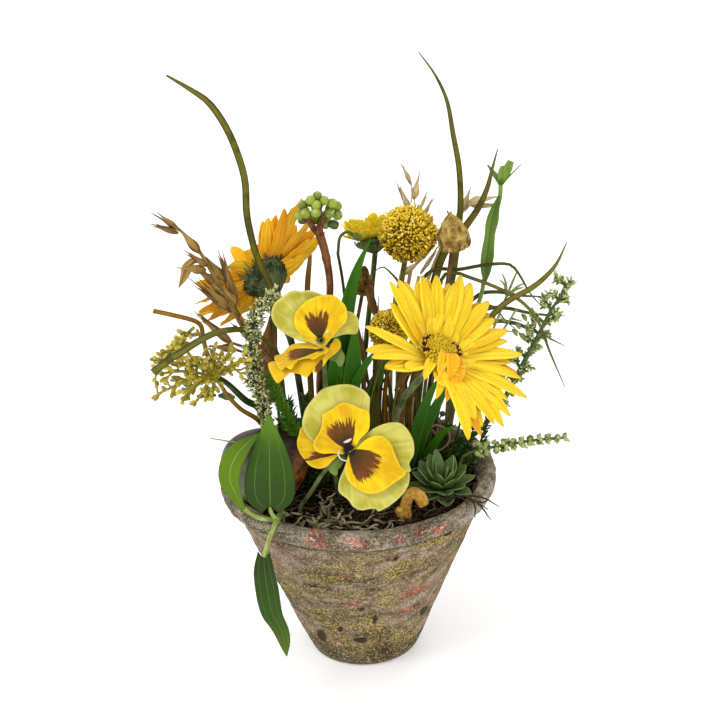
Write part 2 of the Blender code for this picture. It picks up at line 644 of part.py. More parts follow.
upper_blades = (
    (((37, 22, 194), (43, 22, 212), (57, 18, 214), (71, 13, 218), (83, 8, 220), (88, 5, 216), (94, 0, 206),
      (101, -5, 199)), 12),
    (((46, 9, 203), (53, 8, 216), (63, 6, 214), (79, 5, 207), (91, 6, 198), (99, 8, 186), (105, 11, 168),
      (114, 14, 144)), 12),
    (((60, 4, 176), (71, -1, 192), (81, -5, 204), (95, -9, 214), (105, -13, 226), (111, -17, 240)), 11),
)
lower_blades = (
    (((56, 22, 178), (67, 29, 193), (78, 33, 194), (92, 36, 190), (107, 40, 187)), 9),
    (((60, 36, 165), (72, 42, 179), (84, 43, 180), (100, 45, 175), (118, 47, 172)), 9),
    (((62, 44, 150), (76, 53, 166), (88, 55, 166), (100, 57, 160), (120, 60, 148)), 9),
)
tuft("upper_grass_tuft", (33, 8), upper_blades)
tuft("lower_grass_tuft", (48, 17), lower_blades)


# The green stem with its whorl of leaflets, and its long wavy leaf

whorl_stalk = stem("whorl_stalk", [(42, 32), (55, 24, 165), (68, 22, 192), (73, 22, 214), (77, 21, 240),
                                   (80, 21, 252), (81, 21, 261)], (1.1, 1.1, 1.1, 1.0, 1.0), LEAF_GREEN, 10)
long_leaf_route = smooth_route([(72.6, 20.9, 204), (73, 18.6, 215), (74, 17, 232), (79.5, 18.6, 250)], 6)
blade("long_wavy_leaf", long_leaf_route, (1.2, 6.5, 6.5, 5.0, 1.2), (0.15, -1, 0.3), 0.8, LEAF_GREEN, fold=0.2)
whorl_hub = Vector((81, 21, 260.5))
leaflets = [whorl_stalk, ball("hub", whorl_hub, (2.0, 2.0, 2.2), LEAF_GREEN, 6, 4)]
for x, y in ((-6.5, 3.0), (-1.0, -6.5), (3.0, 5.5), (9.0, -1.5)):
    middle = whorl_hub + Vector((x * 0.45, y * 0.45, 6))
    tip = whorl_hub + Vector((x, y, 12.5))
    route = smooth_route([whorl_hub, middle, tip], 4)
    leaflets.append(blade("leaflet", route, (1.6, 4.5, 4.0, 0.8), (-x, -y, 4), 0.9, LEAF_GREEN, fold=0.2))
joined("whorled_leafy_stem", leaflets, LEAF_GREEN)


# Fillers: sprays of beads and tiny florets, and the needle fern

def lumps(low, high, count):
    """A radius that swells and narrows count times."""
    return [low if i % 2 == 0 else high for i in range(2 * count + 1)]


filler_stalk = stem("filler_stalk", [(-49, 16), (-59, 10, 140), (-71, -4, 160), (-76, -26, 176)],
                    (1.5, 1.5, 1.4, 1.2), STEM_GREEN, 8)
filler_tip = Vector((-76, -26, 176))
filler = [filler_stalk]
for x, y, z, size in ((-87, -30, 188, 4.4), (-98, -40, 184, 4.4), (-100, -41, 172, 4.2), (-88, -38, 166, 4.4),
                      (-76, -36, 164, 4.2), (-66, -32, 178, 4.2), (-76, -30, 188, 4.6)):
    end = Vector((x, y, z))
    filler.append(tube("branch", [filler_tip - Vector((0, 0, 0.8)), end], (1.0, 1.0), BEAD_GREEN))
    filler.append(ball("beads", end, (size, size, size), BEAD_GREEN, 6, 5))
joined("yellow_bead_filler", filler, BEAD_GREEN)

stem("white_green_filler", [(-27, 0), (-29, 1, 120), (-34, -2, 138), (-41, -11, 156), (-47, -19, 172),
                            (-48, -22, 190), (-46, -22, 206), (-38, -20, 219)],
     [1.2, 1.4, *lumps(2.6, 4.0, 5)[:-1], 1.2], BEAD_GREEN, 13)
stem("needle_fern", [(-22, 9), (-25, 10, 125), (-30, 9, 147), (-35, 9, 163), (-39.5, 8, 176)],
     [1.2, *lumps(2.4, 3.6, 4)[:-1], 0.8], LEAF_GREEN, 11)
stem("right_sprig", [(48, 26), (59, 28, 118), (74, 28, 134), (88, 24, 152), (100, 20, 174), (107, 18, 186),
                     (115, 15, 204)], [1.1, *lumps(1.6, 3.0, 6)[:-1], 0.8], BEAD_GREEN, 14)
stem("berry_spike", [(56, 6), (61, 5, 110.5), (70, 4, 113), (84, 2, 116), (99, -1, 120), (114, -4, 123.5)],
     [1.0, 1.0, 1.0, *lumps(1.6, 3.8, 7), 0.8], BEAD_GREEN, 18)


# Broad leaves of iris kind: three on one foot among the stems, and a single one at the right

def iris_leaf(name, route, widths, normal):
    return blade(name, route, widths, normal, 1.0, LEAF_GREEN, fold=0.15)


iris_foot = (-6, 16)
sockets.append((*iris_foot, 3.0))
iris_crown = COLLAR + 5
iris_plant = [tube("iris_foot", [Vector((*iris_foot, DEEP_FOOT)), Vector((*iris_foot, iris_crown))], (3.0, 3.0),
                   LEAF_GREEN, 1)]
iris_leaves = (
    (((-5, 15), (-4, 11, 153), (-4, 6, 188), (1, 5, 213), (6, 5, 227), (11, 6, 236)),
     (3.6, 6.0, 9.0, 9.5, 6.0, 1.0), (0.3, -1, 0.1)),
    (((-7.5, 17), (-10, 19, 152), (-12, 15, 178), (-14, 14, 199)), (3.2, 8.0, 8.0, 4.0), (-0.2, -1, 0.1)),
    (((-5, 13.6), (-1, 2, 149), (4, -2, 166), (11, 0, 175), (20, 2, 181)), (3.0, 5.0, 6.0, 4.0, 1.2),
     (-0.3, -1, 0.2)),
)
for points, widths, normal in iris_leaves:
    start = (*points[0], iris_crown - 4)
    route = smooth_route([start, *points[1:]], 8, start=(0, 0, 1))
    iris_plant.append(iris_leaf("iris_leaf", route, widths, normal))
joined("iris_leaves", iris_plant, LEAF_GREEN)
single_route = planted([(28, -1), (30, -1, 118), (34, -2, 136), (40, -3, 152), (45, -4, 161)], 2.3, 6)
iris_leaf("single_iris_leaf", single_route, (4.4, 4.4, 6.0, 6.0, 2.0), (0.2, -1, 0.2))


# Small greens at the right of the soil

bead_sprig = [stem("bead_sprig_stalk", [(39, 21), (41, 22, 116), (43, 23.5, 124)], (0.9, 0.8, 0.7), BLUE_GREEN, 5)]
for x, y, z in ((40.5, 23.5, 129.5), (44, 24.5, 130.5), (47, 23, 126)):
    bead_sprig.append(spindle("bud", (43, 23.5, 123), (x, y, z), 1.7, BLUE_GREEN))
joined("bead_sprig", bead_sprig, BLUE_GREEN)
stem("curled_tendril", [(39, 8), (38, 11, 113), (41, 13, 121), (46, 13, 125), (50, 12, 120), (48, 12, 114),
                        (43, 12, 112)], (0.7, 0.7, 0.6), DRY_BROWN, 11)


# The trailing vine: it leaves the moss, crosses the front rim and hangs down the pot

vine_route = planted([(-30, -41), (-34, -52, 113), (-40, -64, 118), (-44, -72, 118.6), (-47, -79, 116),
                      (-49.5, -84, 108), (-50, -85, 101)], 1.2, 12)
tube("vine_stem", vine_route, [1.2] * 9 + [1.3, 1.2, 1.1, 1.0], STEM_GREEN, 1)


def vine_leaf(name, points, widths, normal, fold, count=8):
    return blade(name, smooth_route(points, count), widths, normal, 0.9, LEAF_GREEN, fold=fold, columns=4)


vine_leaf("upright_vine_leaf", [(-44.5, -74, 120.1), (-45.5, -72, 131), (-46, -66, 146), (-46, -57, 162)],
          (3, 20, 24, 22, 17, 11, 5, 0.8), (0, -1, 0.35), 0.10)
vine_leaf("folded_vine_leaf", [(-46.8, -75.4, 119.3), (-57, -73, 122.5), (-69, -64, 130), (-71, -54, 142),
                               (-60, -48, 152)], (1.6, 3, 7, 12, 13, 10, 6, 0.8), (-0.3, -1, 0.4), 0.35, 9)
vine_leaf("hanging_vine_leaf", [(-50.0, -85.0, 100.6), (-50, -84, 88), (-48.5, -81, 70), (-46, -77, 50),
                                (-43, -73, 36)], (1.6, 9, 11.5, 11.5, 9, 6, 3, 0.8), (-0.2, -1, 0.2), 0.15)


# Sockets: every planted stem passes through a hole in the moss and, if it reaches that deep, in the foam

def socket_cutters():
    for x, y, radius in sockets:
        foot = DEEP_FOOT if hypot(x, y) < DEEP_REACH else SHALLOW_FOOT
        low = foot - GAP
        cage = bmesh.new()
        reach = (radius + SOCKET_SLACK) / cos(pi / 6)
        depth = COLLAR + 6 - low
        bmesh.ops.create_cone(cage, cap_ends=True, segments=6, radius1=reach, radius2=reach, depth=depth)
        cutter = mesh_object("socket", cage, DARK_MOSS, Matrix.Translation((x, y, low + depth / 2)))
        planter.objects.unlink(cutter)
        cutters.objects.link(cutter)
        cutter.hide_render = True
        cutter.display_type = "WIRE"


socket_cutters()
for carrier in (foam, bed, reindeer_moss, green_moss):
    cut = carrier.modifiers.new("sockets", "BOOLEAN")
    cut.operation = "DIFFERENCE"
    cut.solver = "EXACT"
    cut.operand_type = "COLLECTION"
    cut.collection = cutters
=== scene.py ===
"""The looks of a mixed arrangement of silk, plastic and dried stems in an aged terracotta pot.

Shapes are worked out in millimetres, in the frame of the pot: +Z up, the origin at the centre of its base.
Colours are written as they show, from 0 to 255, and turned into light by paint().
"""

import json
from math import atan2, cos, hypot, pi, radians, sin

import bpy
import numpy as np
from mathutils import Matrix, Vector

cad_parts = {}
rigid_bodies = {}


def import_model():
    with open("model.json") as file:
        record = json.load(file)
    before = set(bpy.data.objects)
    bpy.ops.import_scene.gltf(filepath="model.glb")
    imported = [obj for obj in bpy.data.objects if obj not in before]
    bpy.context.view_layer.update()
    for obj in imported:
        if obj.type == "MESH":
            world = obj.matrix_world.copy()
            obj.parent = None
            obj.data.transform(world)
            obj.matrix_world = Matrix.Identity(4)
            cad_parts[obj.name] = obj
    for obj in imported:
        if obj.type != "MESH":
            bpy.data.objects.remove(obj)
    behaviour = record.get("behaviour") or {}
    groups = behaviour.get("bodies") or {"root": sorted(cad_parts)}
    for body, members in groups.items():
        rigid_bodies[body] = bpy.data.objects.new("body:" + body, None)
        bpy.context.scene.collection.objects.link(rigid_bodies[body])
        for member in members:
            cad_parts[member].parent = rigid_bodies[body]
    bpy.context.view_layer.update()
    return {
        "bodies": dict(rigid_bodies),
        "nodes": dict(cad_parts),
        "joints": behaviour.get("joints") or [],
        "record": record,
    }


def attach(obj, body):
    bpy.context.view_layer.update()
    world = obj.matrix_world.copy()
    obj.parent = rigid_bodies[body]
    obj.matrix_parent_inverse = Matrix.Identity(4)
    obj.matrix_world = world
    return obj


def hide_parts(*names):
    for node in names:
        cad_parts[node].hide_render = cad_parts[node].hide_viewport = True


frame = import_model()
MM = 0.001

# The studio: a plain pale table that runs back out of sight, soft daylight from above and the left, and a
# camera that looks down at the arrangement from the height of a standing person's chest.
camera_data = bpy.data.cameras.new("camera")
camera_data.sensor_width = 36.0
camera_data.lens = 99.15
camera_data.clip_end = 20.0
camera = bpy.data.objects.new("camera", camera_data)
camera.matrix_world = (Matrix.Translation((0.0035, -0.955, 0.610)) @ Matrix.Rotation(pi / 2 - 0.430, 4, "X")
                       @ Matrix.Rotation(-0.041, 4, "Z"))
bpy.context.scene.collection.objects.link(camera)
bpy.context.scene.camera = camera
bpy.context.scene.view_settings.view_transform = "Standard"

TABLE_WIDTH = 12.0
table_mesh = bpy.data.meshes.new("table")
table_corners = [(x * TABLE_WIDTH / 2, y * TABLE_WIDTH / 2, -0.0004) for x, y in ((-1, -1), (1, -1), (1, 1), (-1, 1))]
table_mesh.from_pydata(table_corners, [], [(0, 1, 2, 3)])
table = bpy.data.objects.new("table", table_mesh)
bpy.context.scene.collection.objects.link(table)
table_paint = bpy.data.materials.new("table")
table_paint.use_nodes = True
table_paint.node_tree.nodes["Principled BSDF"].inputs["Base Color"].default_value = (0.93, 0.93, 0.93, 1)
table_paint.node_tree.nodes["Principled BSDF"].inputs["Roughness"].default_value = 0.9
table_paint.node_tree.nodes["Principled BSDF"].inputs["Emission Color"].default_value = (1.0, 1.0, 1.0, 1)
table_paint.node_tree.nodes["Principled BSDF"].inputs["Emission Strength"].default_value = 0.25
table_mesh.materials.append(table_paint)

sky = bpy.data.worlds.new("studio")
sky.use_nodes = True
sky.node_tree.nodes["Background"].inputs["Color"].default_value = (1.0, 1.0, 1.0, 1)
sky.node_tree.nodes["Background"].inputs["Strength"].default_value = 0.80
bpy.context.scene.world = sky
lamps = (   # name, place, watts, width
    ("key_lamp", (-0.9, -0.9, 1.7), 13.0, 0.7),
    ("front_lamp", (0.6, -1.5, 0.9), 5.0, 0.9),
    ("back_lamp", (0.5, 1.1, 1.3), 5.0, 0.8),
)
for lamp_name, lamp_place, watts, width in lamps:
    lamp = bpy.data.lights.new(lamp_name, "AREA")
    lamp.energy = watts
    lamp.size = width
    lamp_object = bpy.data.objects.new(lamp_name, lamp)
    lamp_object.location = lamp_place
    lamp_object.rotation_euler = (Vector((0, 0, 0.18)) - Vector(lamp_place)).to_track_quat("-Z", "Y").to_euler()
    bpy.context.scene.collection.objects.link(lamp_object)


# The pot is thrown from red clay, with a thick rolled rim and a plain wall. Years outdoors have left it
# coated with lichen, moss and lime, and the clay shows only where the coat has worn off.
def paint(red, green, blue):
    """A colour as it shows, from 0 to 255, as the light that gives it."""
    return tuple((c / 255) ** 2.2 for c in (red, green, blue)) + (1.0,)


class Value:
    """A number that varies over a surface, so that shader maths can be written as maths."""

    def __init__(self, finish, socket):
        self.finish = finish
        self.socket = socket

    def maths(self, operation, first, second):
        return self.finish.node("ShaderNodeMath", {"operation": operation}, (first, second))

    def __add__(self, other):
        return self.maths("ADD", self, other)

    def __mul__(self, other):
        return self.maths("MULTIPLY", self, other)

    def __sub__(self, other):
        return self.maths("SUBTRACT", self, other)

    def __rsub__(self, other):
        return self.maths("SUBTRACT", other, self)

    def __truediv__(self, other):
        return self.maths("DIVIDE", self, other)

    def __pow__(self, other):
        return self.maths("POWER", self, other)

    __radd__ = __add__
    __rmul__ = __mul__

    def rise(self, low, high):
        """Runs softly from 0 at low to 1 at high."""
        return self.finish.node("ShaderNodeMapRange", {"interpolation_type": "SMOOTHSTEP"}, (self, low, high, 0.0, 1.0))

    def fall(self, low, high):
        """Runs softly from 1 at low to 0 at high."""
        return self.finish.node("ShaderNodeMapRange", {"interpolation_type": "SMOOTHSTEP"}, (self, low, high, 1.0, 0.0))

    def near(self, spot, half):
        """Is 1 at spot and falls to 0 at half on either side of it."""
        away = self - spot
        return (away * away).fall(0.0, half * half)


class Finish:
    """A finish as it is mixed: nodes that end in one shader. Constants go on the shader's own sockets."""

    def __init__(self, name, **constants):
        self.material = bpy.data.materials.new(name)
        self.material.use_nodes = True
        self.tree = self.material.node_tree
        self.shader = self.tree.nodes["Principled BSDF"]
        for socket, value in constants.items():
            self.shader.inputs[socket.replace("_", " ")].default_value = value

    def node(self, kind, settings=None, values=(), output=0):
        """Adds a node: its settings first, then a value or a link for each of its sockets."""
        made = self.tree.nodes.new(kind)
        for setting, value in (settings or {}).items():
            setattr(made, setting, value)
        for socket, value in values.items() if isinstance(values, dict) else enumerate(values):
            if isinstance(value, Value):
                self.tree.links.new(value.socket, made.inputs[socket])
            else:
                made.inputs[socket].default_value = value
        return Value(self, made.outputs[output])

    def where(self, stretch=(1, 1, 1)):
        """The place on the object in metres, stretched."""
        spot = self.node("ShaderNodeTexCoord", output="Object")
        return self.node("ShaderNodeVectorMath", {"operation": "MULTIPLY"}, (spot, stretch))

    def noise(self, scale, detail=3.0, stretch=(1, 1, 1), vector=None, distortion=0.0):
        values = {"Vector": vector or self.where(stretch), "Scale": scale, "Detail": detail, "Distortion": distortion}
        return self.node("ShaderNodeTexNoise", None, values)

    def cells(self, scale, feature="F1", vector=None):
        values = {"Vector": vector or self.where(), "Scale": scale}
        return self.node("ShaderNodeTexVoronoi", {"feature": feature}, values)

    def place(self):
        """The place on a piece that its mesh carries: across, then along."""
        spot = self.node("ShaderNodeUVMap", {"uv_map": "place"})
        return [self.node("ShaderNodeSeparateXYZ", None, (spot,), output=axis) for axis in (0, 1)]

    def tone(self):
        """The shade, from 0 to 1, that one petal, leaf or strand has among its like."""
        return self.node("ShaderNodeAttribute", {"attribute_name": "tone"}, output="Fac")

    def vector(self, x, y, z=0.0):
        return self.node("ShaderNodeCombineXYZ", None, (x, y, z))

    def mix(self, share, under, over):
        return self.node("ShaderNodeMix", {"data_type": "RGBA"}, {0: share, 6: under, 7: over}, output=2)

    def coats(self, colour, *coats):
        """Lays coats of colour over each other, each where its mask says."""
        for mask, over in coats:
            colour = self.mix(mask, colour, over)
        return colour

    def done(self, colour, height=None, distance=0.3, strength=0.6, roughness=None):
        """Links the colour, a relief whose full height is distance in millimetres, and a roughness that varies."""
        self.tree.links.new(colour.socket, self.shader.inputs["Base Color"])
        if height:
            values = {"Height": height, "Distance": distance * MM, "Strength": strength}
            relief = self.node("ShaderNodeBump", None, values)
            self.tree.links.new(relief.socket, self.shader.inputs["Normal"])
        if roughness:
            self.tree.links.new(roughness.socket, self.shader.inputs["Roughness"])
        return self.material


class Shape:
    """Points in millimetres and the faces between them, with the place and the tone of each point."""

    def __init__(self, points, quads, triangles=(), places=None, tone=0.5):
        self.points = np.asarray(points, float).reshape(-1, 3)
        self.quads = np.asarray(quads, int).reshape(-1, 4)
        self.triangles = np.asarray(triangles, int).reshape(-1, 3)
        count = len(self.points)
        self.places = np.zeros((count, 2)) if places is None else np.asarray(places, float).reshape(-1, 2)
        self.tones = np.full(count, float(tone)) if np.isscalar(tone) else np.asarray(tone, float)

    def moved(self, matrix, tone=None):
        turn = np.array(matrix)
        points = self.points @ turn[:3, :3].T + turn[:3, 3]
        return Shape(points, self.quads, self.triangles, self.places, self.tones if tone is None else tone)


def together(shapes):
    starts = np.cumsum([0] + [len(shape.points) for shape in shapes])
    return Shape(np.concatenate([s.points for s in shapes]),
                 np.concatenate([s.quads + start for s, start in zip(shapes, starts)]),
                 np.concatenate([s.triangles + start for s, start in zip(shapes, starts)]),
                 np.concatenate([s.places for s in shapes]), np.concatenate([s.tones for s in shapes]))


def sheet(points, places=None, closed=False, tone=0.5):
    """A grid of points, rows by columns, joined by faces. A closed one joins its last column to its first."""
    rows, columns = points.shape[:2]
    index = np.arange(rows * columns).reshape(rows, columns)
    right = np.roll(index, -1, axis=1) if closed else index[:, 1:]
    left = index if closed else index[:, :-1]
    quads = np.stack([left[:-1], right[:-1], right[1:], left[1:]], axis=-1)
    if places is None:
        across, along = np.meshgrid(np.linspace(0, 1, columns), np.linspace(0, 1, rows))
        places = np.stack([across, along], axis=-1)
    return Shape(points, quads, (), places, tone)


def piece(name, shape, material, nodes=(), thickness=0.0, smoothing=0):
    """Makes a piece of the arrangement from a shape. nodes are the plain solids that it stands for."""
    mesh = bpy.data.meshes.new(name)
    mesh.from_pydata((shape.points * MM).tolist(), [], shape.quads.tolist() + shape.triangles.tolist())
    corners = np.empty(len(mesh.loops), int)
    mesh.loops.foreach_get("vertex_index", corners)
    mesh.uv_layers.new(name="place").uv.foreach_set("vector", shape.places[corners].astype(np.float32).ravel())
    mesh.attributes.new("tone", "FLOAT", "POINT").data.foreach_set("value", shape.tones.astype(np.float32))
    mesh.shade_smooth()
    mesh.materials.append(material)
    item = bpy.data.objects.new(name, mesh)
    bpy.context.scene.collection.objects.link(item)
    if smoothing:
        finer = item.modifiers.new("smoothing", "SUBSURF")
        finer.levels = smoothing
        finer.render_levels = smoothing
    if thickness:
        body = item.modifiers.new("thickness", "SOLIDIFY")
        body.thickness = thickness * MM
        body.offset = 0
    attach(item, "root")
    if nodes:
        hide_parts(*nodes)
    return item


def waves(points, size, seed=0):
    """Soft uneven numbers between about -1 and 1 at points, whose swells are size millimetres long."""
    chance = np.random.default_rng(seed)
    total = np.zeros(len(points))
    for _ in range(9):
        heading = chance.normal(size=3)
        heading *= 2 * pi / (size * chance.uniform(0.7, 1.5) * np.linalg.norm(heading))
        total += np.sin(points @ heading + chance.uniform(0, 2 * pi))
    return total / 4.5


def revolved(profile, columns):
    """A turned surface through (radius, height) points, from its inside edge over the rim to its underside."""
    profile = np.array(profile, float)
    angles = np.linspace(0, 2 * pi, columns, endpoint=False)
    points = np.empty((len(profile), columns, 3))
    points[..., 0] = profile[:, :1] * np.cos(angles)
    points[..., 1] = profile[:, :1] * np.sin(angles)
    points[..., 2] = profile[:, 1:]
    return points


def resampled(points, count):
    """The same run of points at even distances."""
    points = np.array(points, float)
    steps = np.linalg.norm(np.diff(points, axis=0), axis=1)
    reach = np.concatenate([[0], np.cumsum(steps)])
    goals = np.linspace(0, reach[-1], count)
    return np.stack([np.interp(goals, reach, points[:, i]) for i in range(points.shape[1])], axis=1)


def smooth(points, count):
    """A smooth curve through the points, at even distances."""
    points = np.array(points, float)
    padded = np.concatenate([[2 * points[0] - points[1]], points, [2 * points[-1] - points[-2]]])
    t = np.linspace(0, 1, 12, endpoint=False)[:, None]
    runs = []
    for a, b, c, d in zip(padded, padded[1:], padded[2:], padded[3:]):
        runs.append(0.5 * (2 * b + (c - a) * t + (2 * a - 5 * b + 4 * c - d) * t ** 2
                           + (3 * b - a - 3 * c + d) * t ** 3))
    return resampled(np.concatenate([*runs, points[-1:]]), count)


RIM_RADIUS = 75.0
POT_HEIGHT = 108.0
wall_profile = resampled([(30.6, 2.5), (69.2, 96.5), (72.6, 97.6)], 74)
rim_profile = smooth([(72.6, 97.6), (74.2, 99.2), (75.0, 102.5), (74.6, 105.8), (72.8, 107.6), (70.5, 108.0),
                      (68.4, 107.4), (67.1, 105.4)], 34)
inside_profile = resampled([(67.1, 105.4), (64.5, 100.0), (61.2, 97.0)], 10)
foot_profile = smooth([(0.5, 0.0), (14, 0), (27, 0), (29.4, 0.5), (30.6, 2.5)], 16)
pot_profile = np.concatenate([foot_profile, wall_profile[1:], rim_profile[1:], inside_profile[1:]])
pot_points = revolved(pot_profile, 240)
flat = pot_points.reshape(-1, 3)
radius = np.hypot(flat[:, 0], flat[:, 1])
swell = 0.60 * waves(flat, 46, 1) + 0.32 * waves(flat, 13, 2) + 0.34 * waves(flat, 5.0, 3)
on_wall = np.clip((flat[:, 2] - 1.0) / 4.0, 0, 1)
hand = on_wall * swell * np.clip(radius / 60, 0, 1)
flat[:, 0] *= 1 + hand / np.maximum(radius, 1)
flat[:, 1] *= 1 + hand / np.maximum(radius, 1)
flat[:, 2] += np.where(flat[:, 2] > 103, 0.45 * waves(flat, 40, 4) - 0.4, 0)
# What the pot's front shows, each mark as x, height, half width and half height.
pit_marks = ((46, 94, 2.4, 2.2), (18, 86, 2.0, 2.2), (-26, 64, 3.2, 1.7), (33, 32, 2.6, 5.4), (-2, 22, 3.4, 2.6), (-1, 48, 2.0, 2.4), (6, 40, 1.6, 4.0), (-24, 21, 3.0, 6.0),
             (-13, 31, 1.8, 3.4), (11, 12, 2.6, 2.0))
brick_marks = ((-23, 106, 4.2, 2.6), (-19, 102, 8.0, 3.2), (1, 103, 6.4, 3.6), (31, 104, 4.0, 3.4), (41, 103, 7.4, 2.6), (19, 104, 4.0, 2.8), (27, 56, 7.0, 3.0),
               (24, 41, 9.0, 2.0), (-7, 53, 6.6, 1.8), (9, 16, 3.0, 2.2), (-8, 75, 4.4, 1.4), (-15, 16, 2.8, 2.2), (52, 70, 5, 2.2), (-44, 92, 6, 2.4))
moss_marks = ((3, 39, 4.2, 7.0), (-24, 43, 5.0, 5.0), (-17, 30, 4.4, 6.4), (-11, 22, 3.4, 5.0), (-26, 63, 9.0, 5.0), (33, 93, 9.5, 3.2), (46, 91, 5.6, 3.6),
              (19, 75, 4.4, 3.8), (-9, 72, 16, 3.4), (12, 54, 9.0, 4.6))


def marked(points, marks):
    """How deep each point of the front lies inside one of the marks, from 0 to 1."""
    inside = np.zeros(len(points))
    for x, z, wide, high in marks:
        away = ((points[:, 0] - x) / wide) ** 2 + ((points[:, 2] - z) / high) ** 2
        inside = np.maximum(inside, np.exp(-0.7 * away) * (points[:, 1] < 0))
    return inside


pitted = marked(flat, pit_marks)
back_pits = ((-20, 60, 80, 3.2), (34, 44, 52, 2.6), (50, 30, 70, 3.0), (-52, 20, 60, 3.0), (0, 66, 88, 2.6))
for x, y, z, reach in back_pits:
    pitted = np.maximum(pitted, np.exp(-(np.linalg.norm(flat - (x, y, z), axis=1) / reach) ** 2))
flat *= (1 - 0.020 * pitted ** 1.5)[:, None] * (1, 1, 0) + (0, 0, 1)
pot_places = np.stack([pitted, marked(flat, moss_marks)], axis=1).reshape(*pot_points.shape[:2], 2)


def aged_terracotta():
    clay = Finish("aged_terracotta", Roughness=0.95, Specular_IOR_Level=0.15)
    pit, moss_mark = clay.place()
    brick_mark = clay.tone()
    slant = clay.node("ShaderNodeMapping", None, (clay.where(), (0, 0, 0), (0.0, radians(9), 0.0), (1, 1, 1)))
    flow = clay.node("ShaderNodeVectorMath", {"operation": "MULTIPLY"}, (slant, (17, 17, 66)))
    smear = clay.noise(1, 7, vector=flow, distortion=0.7)
    crust = clay.noise(110, 7, (1, 1, 1.5), distortion=0.4)
    grain = clay.noise(900, 5)
    cloud = clay.noise(34, 6, (1, 1, 1.6), distortion=0.3)
    height = clay.node("ShaderNodeSeparateXYZ", None, (clay.where(),), output=2)
    rim = height.rise(0.0965, 0.0985)
    wall = 1 - rim
    rough = (crust - 0.5) * 2.6
    streaks = clay.noise(1, 5, vector=clay.node("ShaderNodeVectorMath", {"operation": "MULTIPLY"}, (slant, (44, 44, 380))))
    moss = (moss_mark * 0.75 + cloud.rise(0.44, 0.62) * 0.62 * wall + rough * 0.6).rise(0.30, 0.80)
    red = (brick_mark * 0.9 + clay.noise(23, 6, (1, 1, 2.8), distortion=0.8).rise(0.56, 0.72) * 0.5 + rough * 0.9).rise(0.36, 0.70)
    # Dark cloudy patches, and darker towards the bottom of the wall.
    dark_patches_and_low_band = (clay.noise(40, 6, (1, 1, 1.5), distortion=0.4).rise(0.46, 0.66) * 0.7 + height.fall(0.004, 0.026) * 0.55 + rough * 0.5).rise(0.25, 0.80)
    dots = clay.cells(640).fall(0.12, 0.34)
    speck = dots * (moss * 0.7 + dark_patches_and_low_band * 0.6 + (cloud + rough * 0.5).rise(0.42, 0.58) * 0.5)
    fleck = clay.noise(300, 5, (1, 1, 2.0)).rise(0.645, 0.70)
    # A band of painted shadow on the wall under the rolled rim, broken up by the crust.
    painted_shadow_under_rim = (height.rise(0.0915, 0.0960) * wall + rough * 0.4).rise(0.3, 0.9)
    colour = clay.coats(
        clay.mix(crust.rise(0.36, 0.64), paint(104, 90, 60), paint(146, 128, 92)),
        (smear.rise(0.47, 0.58) * 0.75, clay.mix(crust.rise(0.36, 0.62), paint(126, 104, 90), paint(168, 146, 132))),
        (smear.fall(0.36, 0.45) * 0.6, paint(84, 70, 44)),
        (rim * 0.75, clay.mix(crust.rise(0.40, 0.60), paint(104, 96, 82), paint(164, 156, 142))),
        (moss * 0.70, clay.mix(grain.rise(0.40, 0.60), paint(104, 88, 26), paint(170, 150, 66))),
        (streaks.fall(0.36, 0.47) * 0.50, paint(70, 56, 38)),
        (red * 0.72, clay.mix(crust.rise(0.42, 0.58), paint(128, 50, 34), paint(168, 96, 76))),
        (dark_patches_and_low_band * 0.55, paint(54, 44, 32)),
        (grain.rise(0.52, 0.64) * 0.45, paint(196, 182, 150)),
        (grain.fall(0.36, 0.48) * 0.55, paint(58, 47, 32)),
        (speck * 0.85, paint(26, 21, 15)),
        # Painted shade in the pits and dents, with dark crust where the crust noise is rough.
        ((pit * 1.3 + rough * 0.7).rise(0.55, 1.05) * 0.85, paint(40, 30, 21)),
        (fleck * (red * 0.6 + 0.45), paint(216, 208, 194)),
        # painted shadow under the rim
        (painted_shadow_under_rim * 0.6, paint(42, 34, 25)))
    relief = crust * 0.7 + grain * 0.25 + moss * 0.25 - speck * 0.4 - streaks.fall(0.36, 0.47) * 0.2
    return clay.done(colour, relief, 1.1, 0.9)


piece("clay_pot", sheet(pot_points, pot_places, True, marked(flat, brick_marks)), aged_terracotta(), ["pot"])


# Dry floral foam fills the pot below the moss. It is a crumbly green plastic foam cut to fit, and it is what
# every stem is pushed into. Nothing of it shows, so its plain block stays and only gets its finish.
def dry_foam():
    foam = Finish("dry_foam", Roughness=1.0, Specular_IOR_Level=0.1)
    pores = foam.cells(900)
    return foam.done(foam.mix(pores.rise(0.2, 0.7), paint(38, 66, 44), paint(74, 108, 78)), pores, 0.4)


block = frame["nodes"]["floral_foam"]
block.data.materials.clear()
block.data.materials.append(dry_foam())


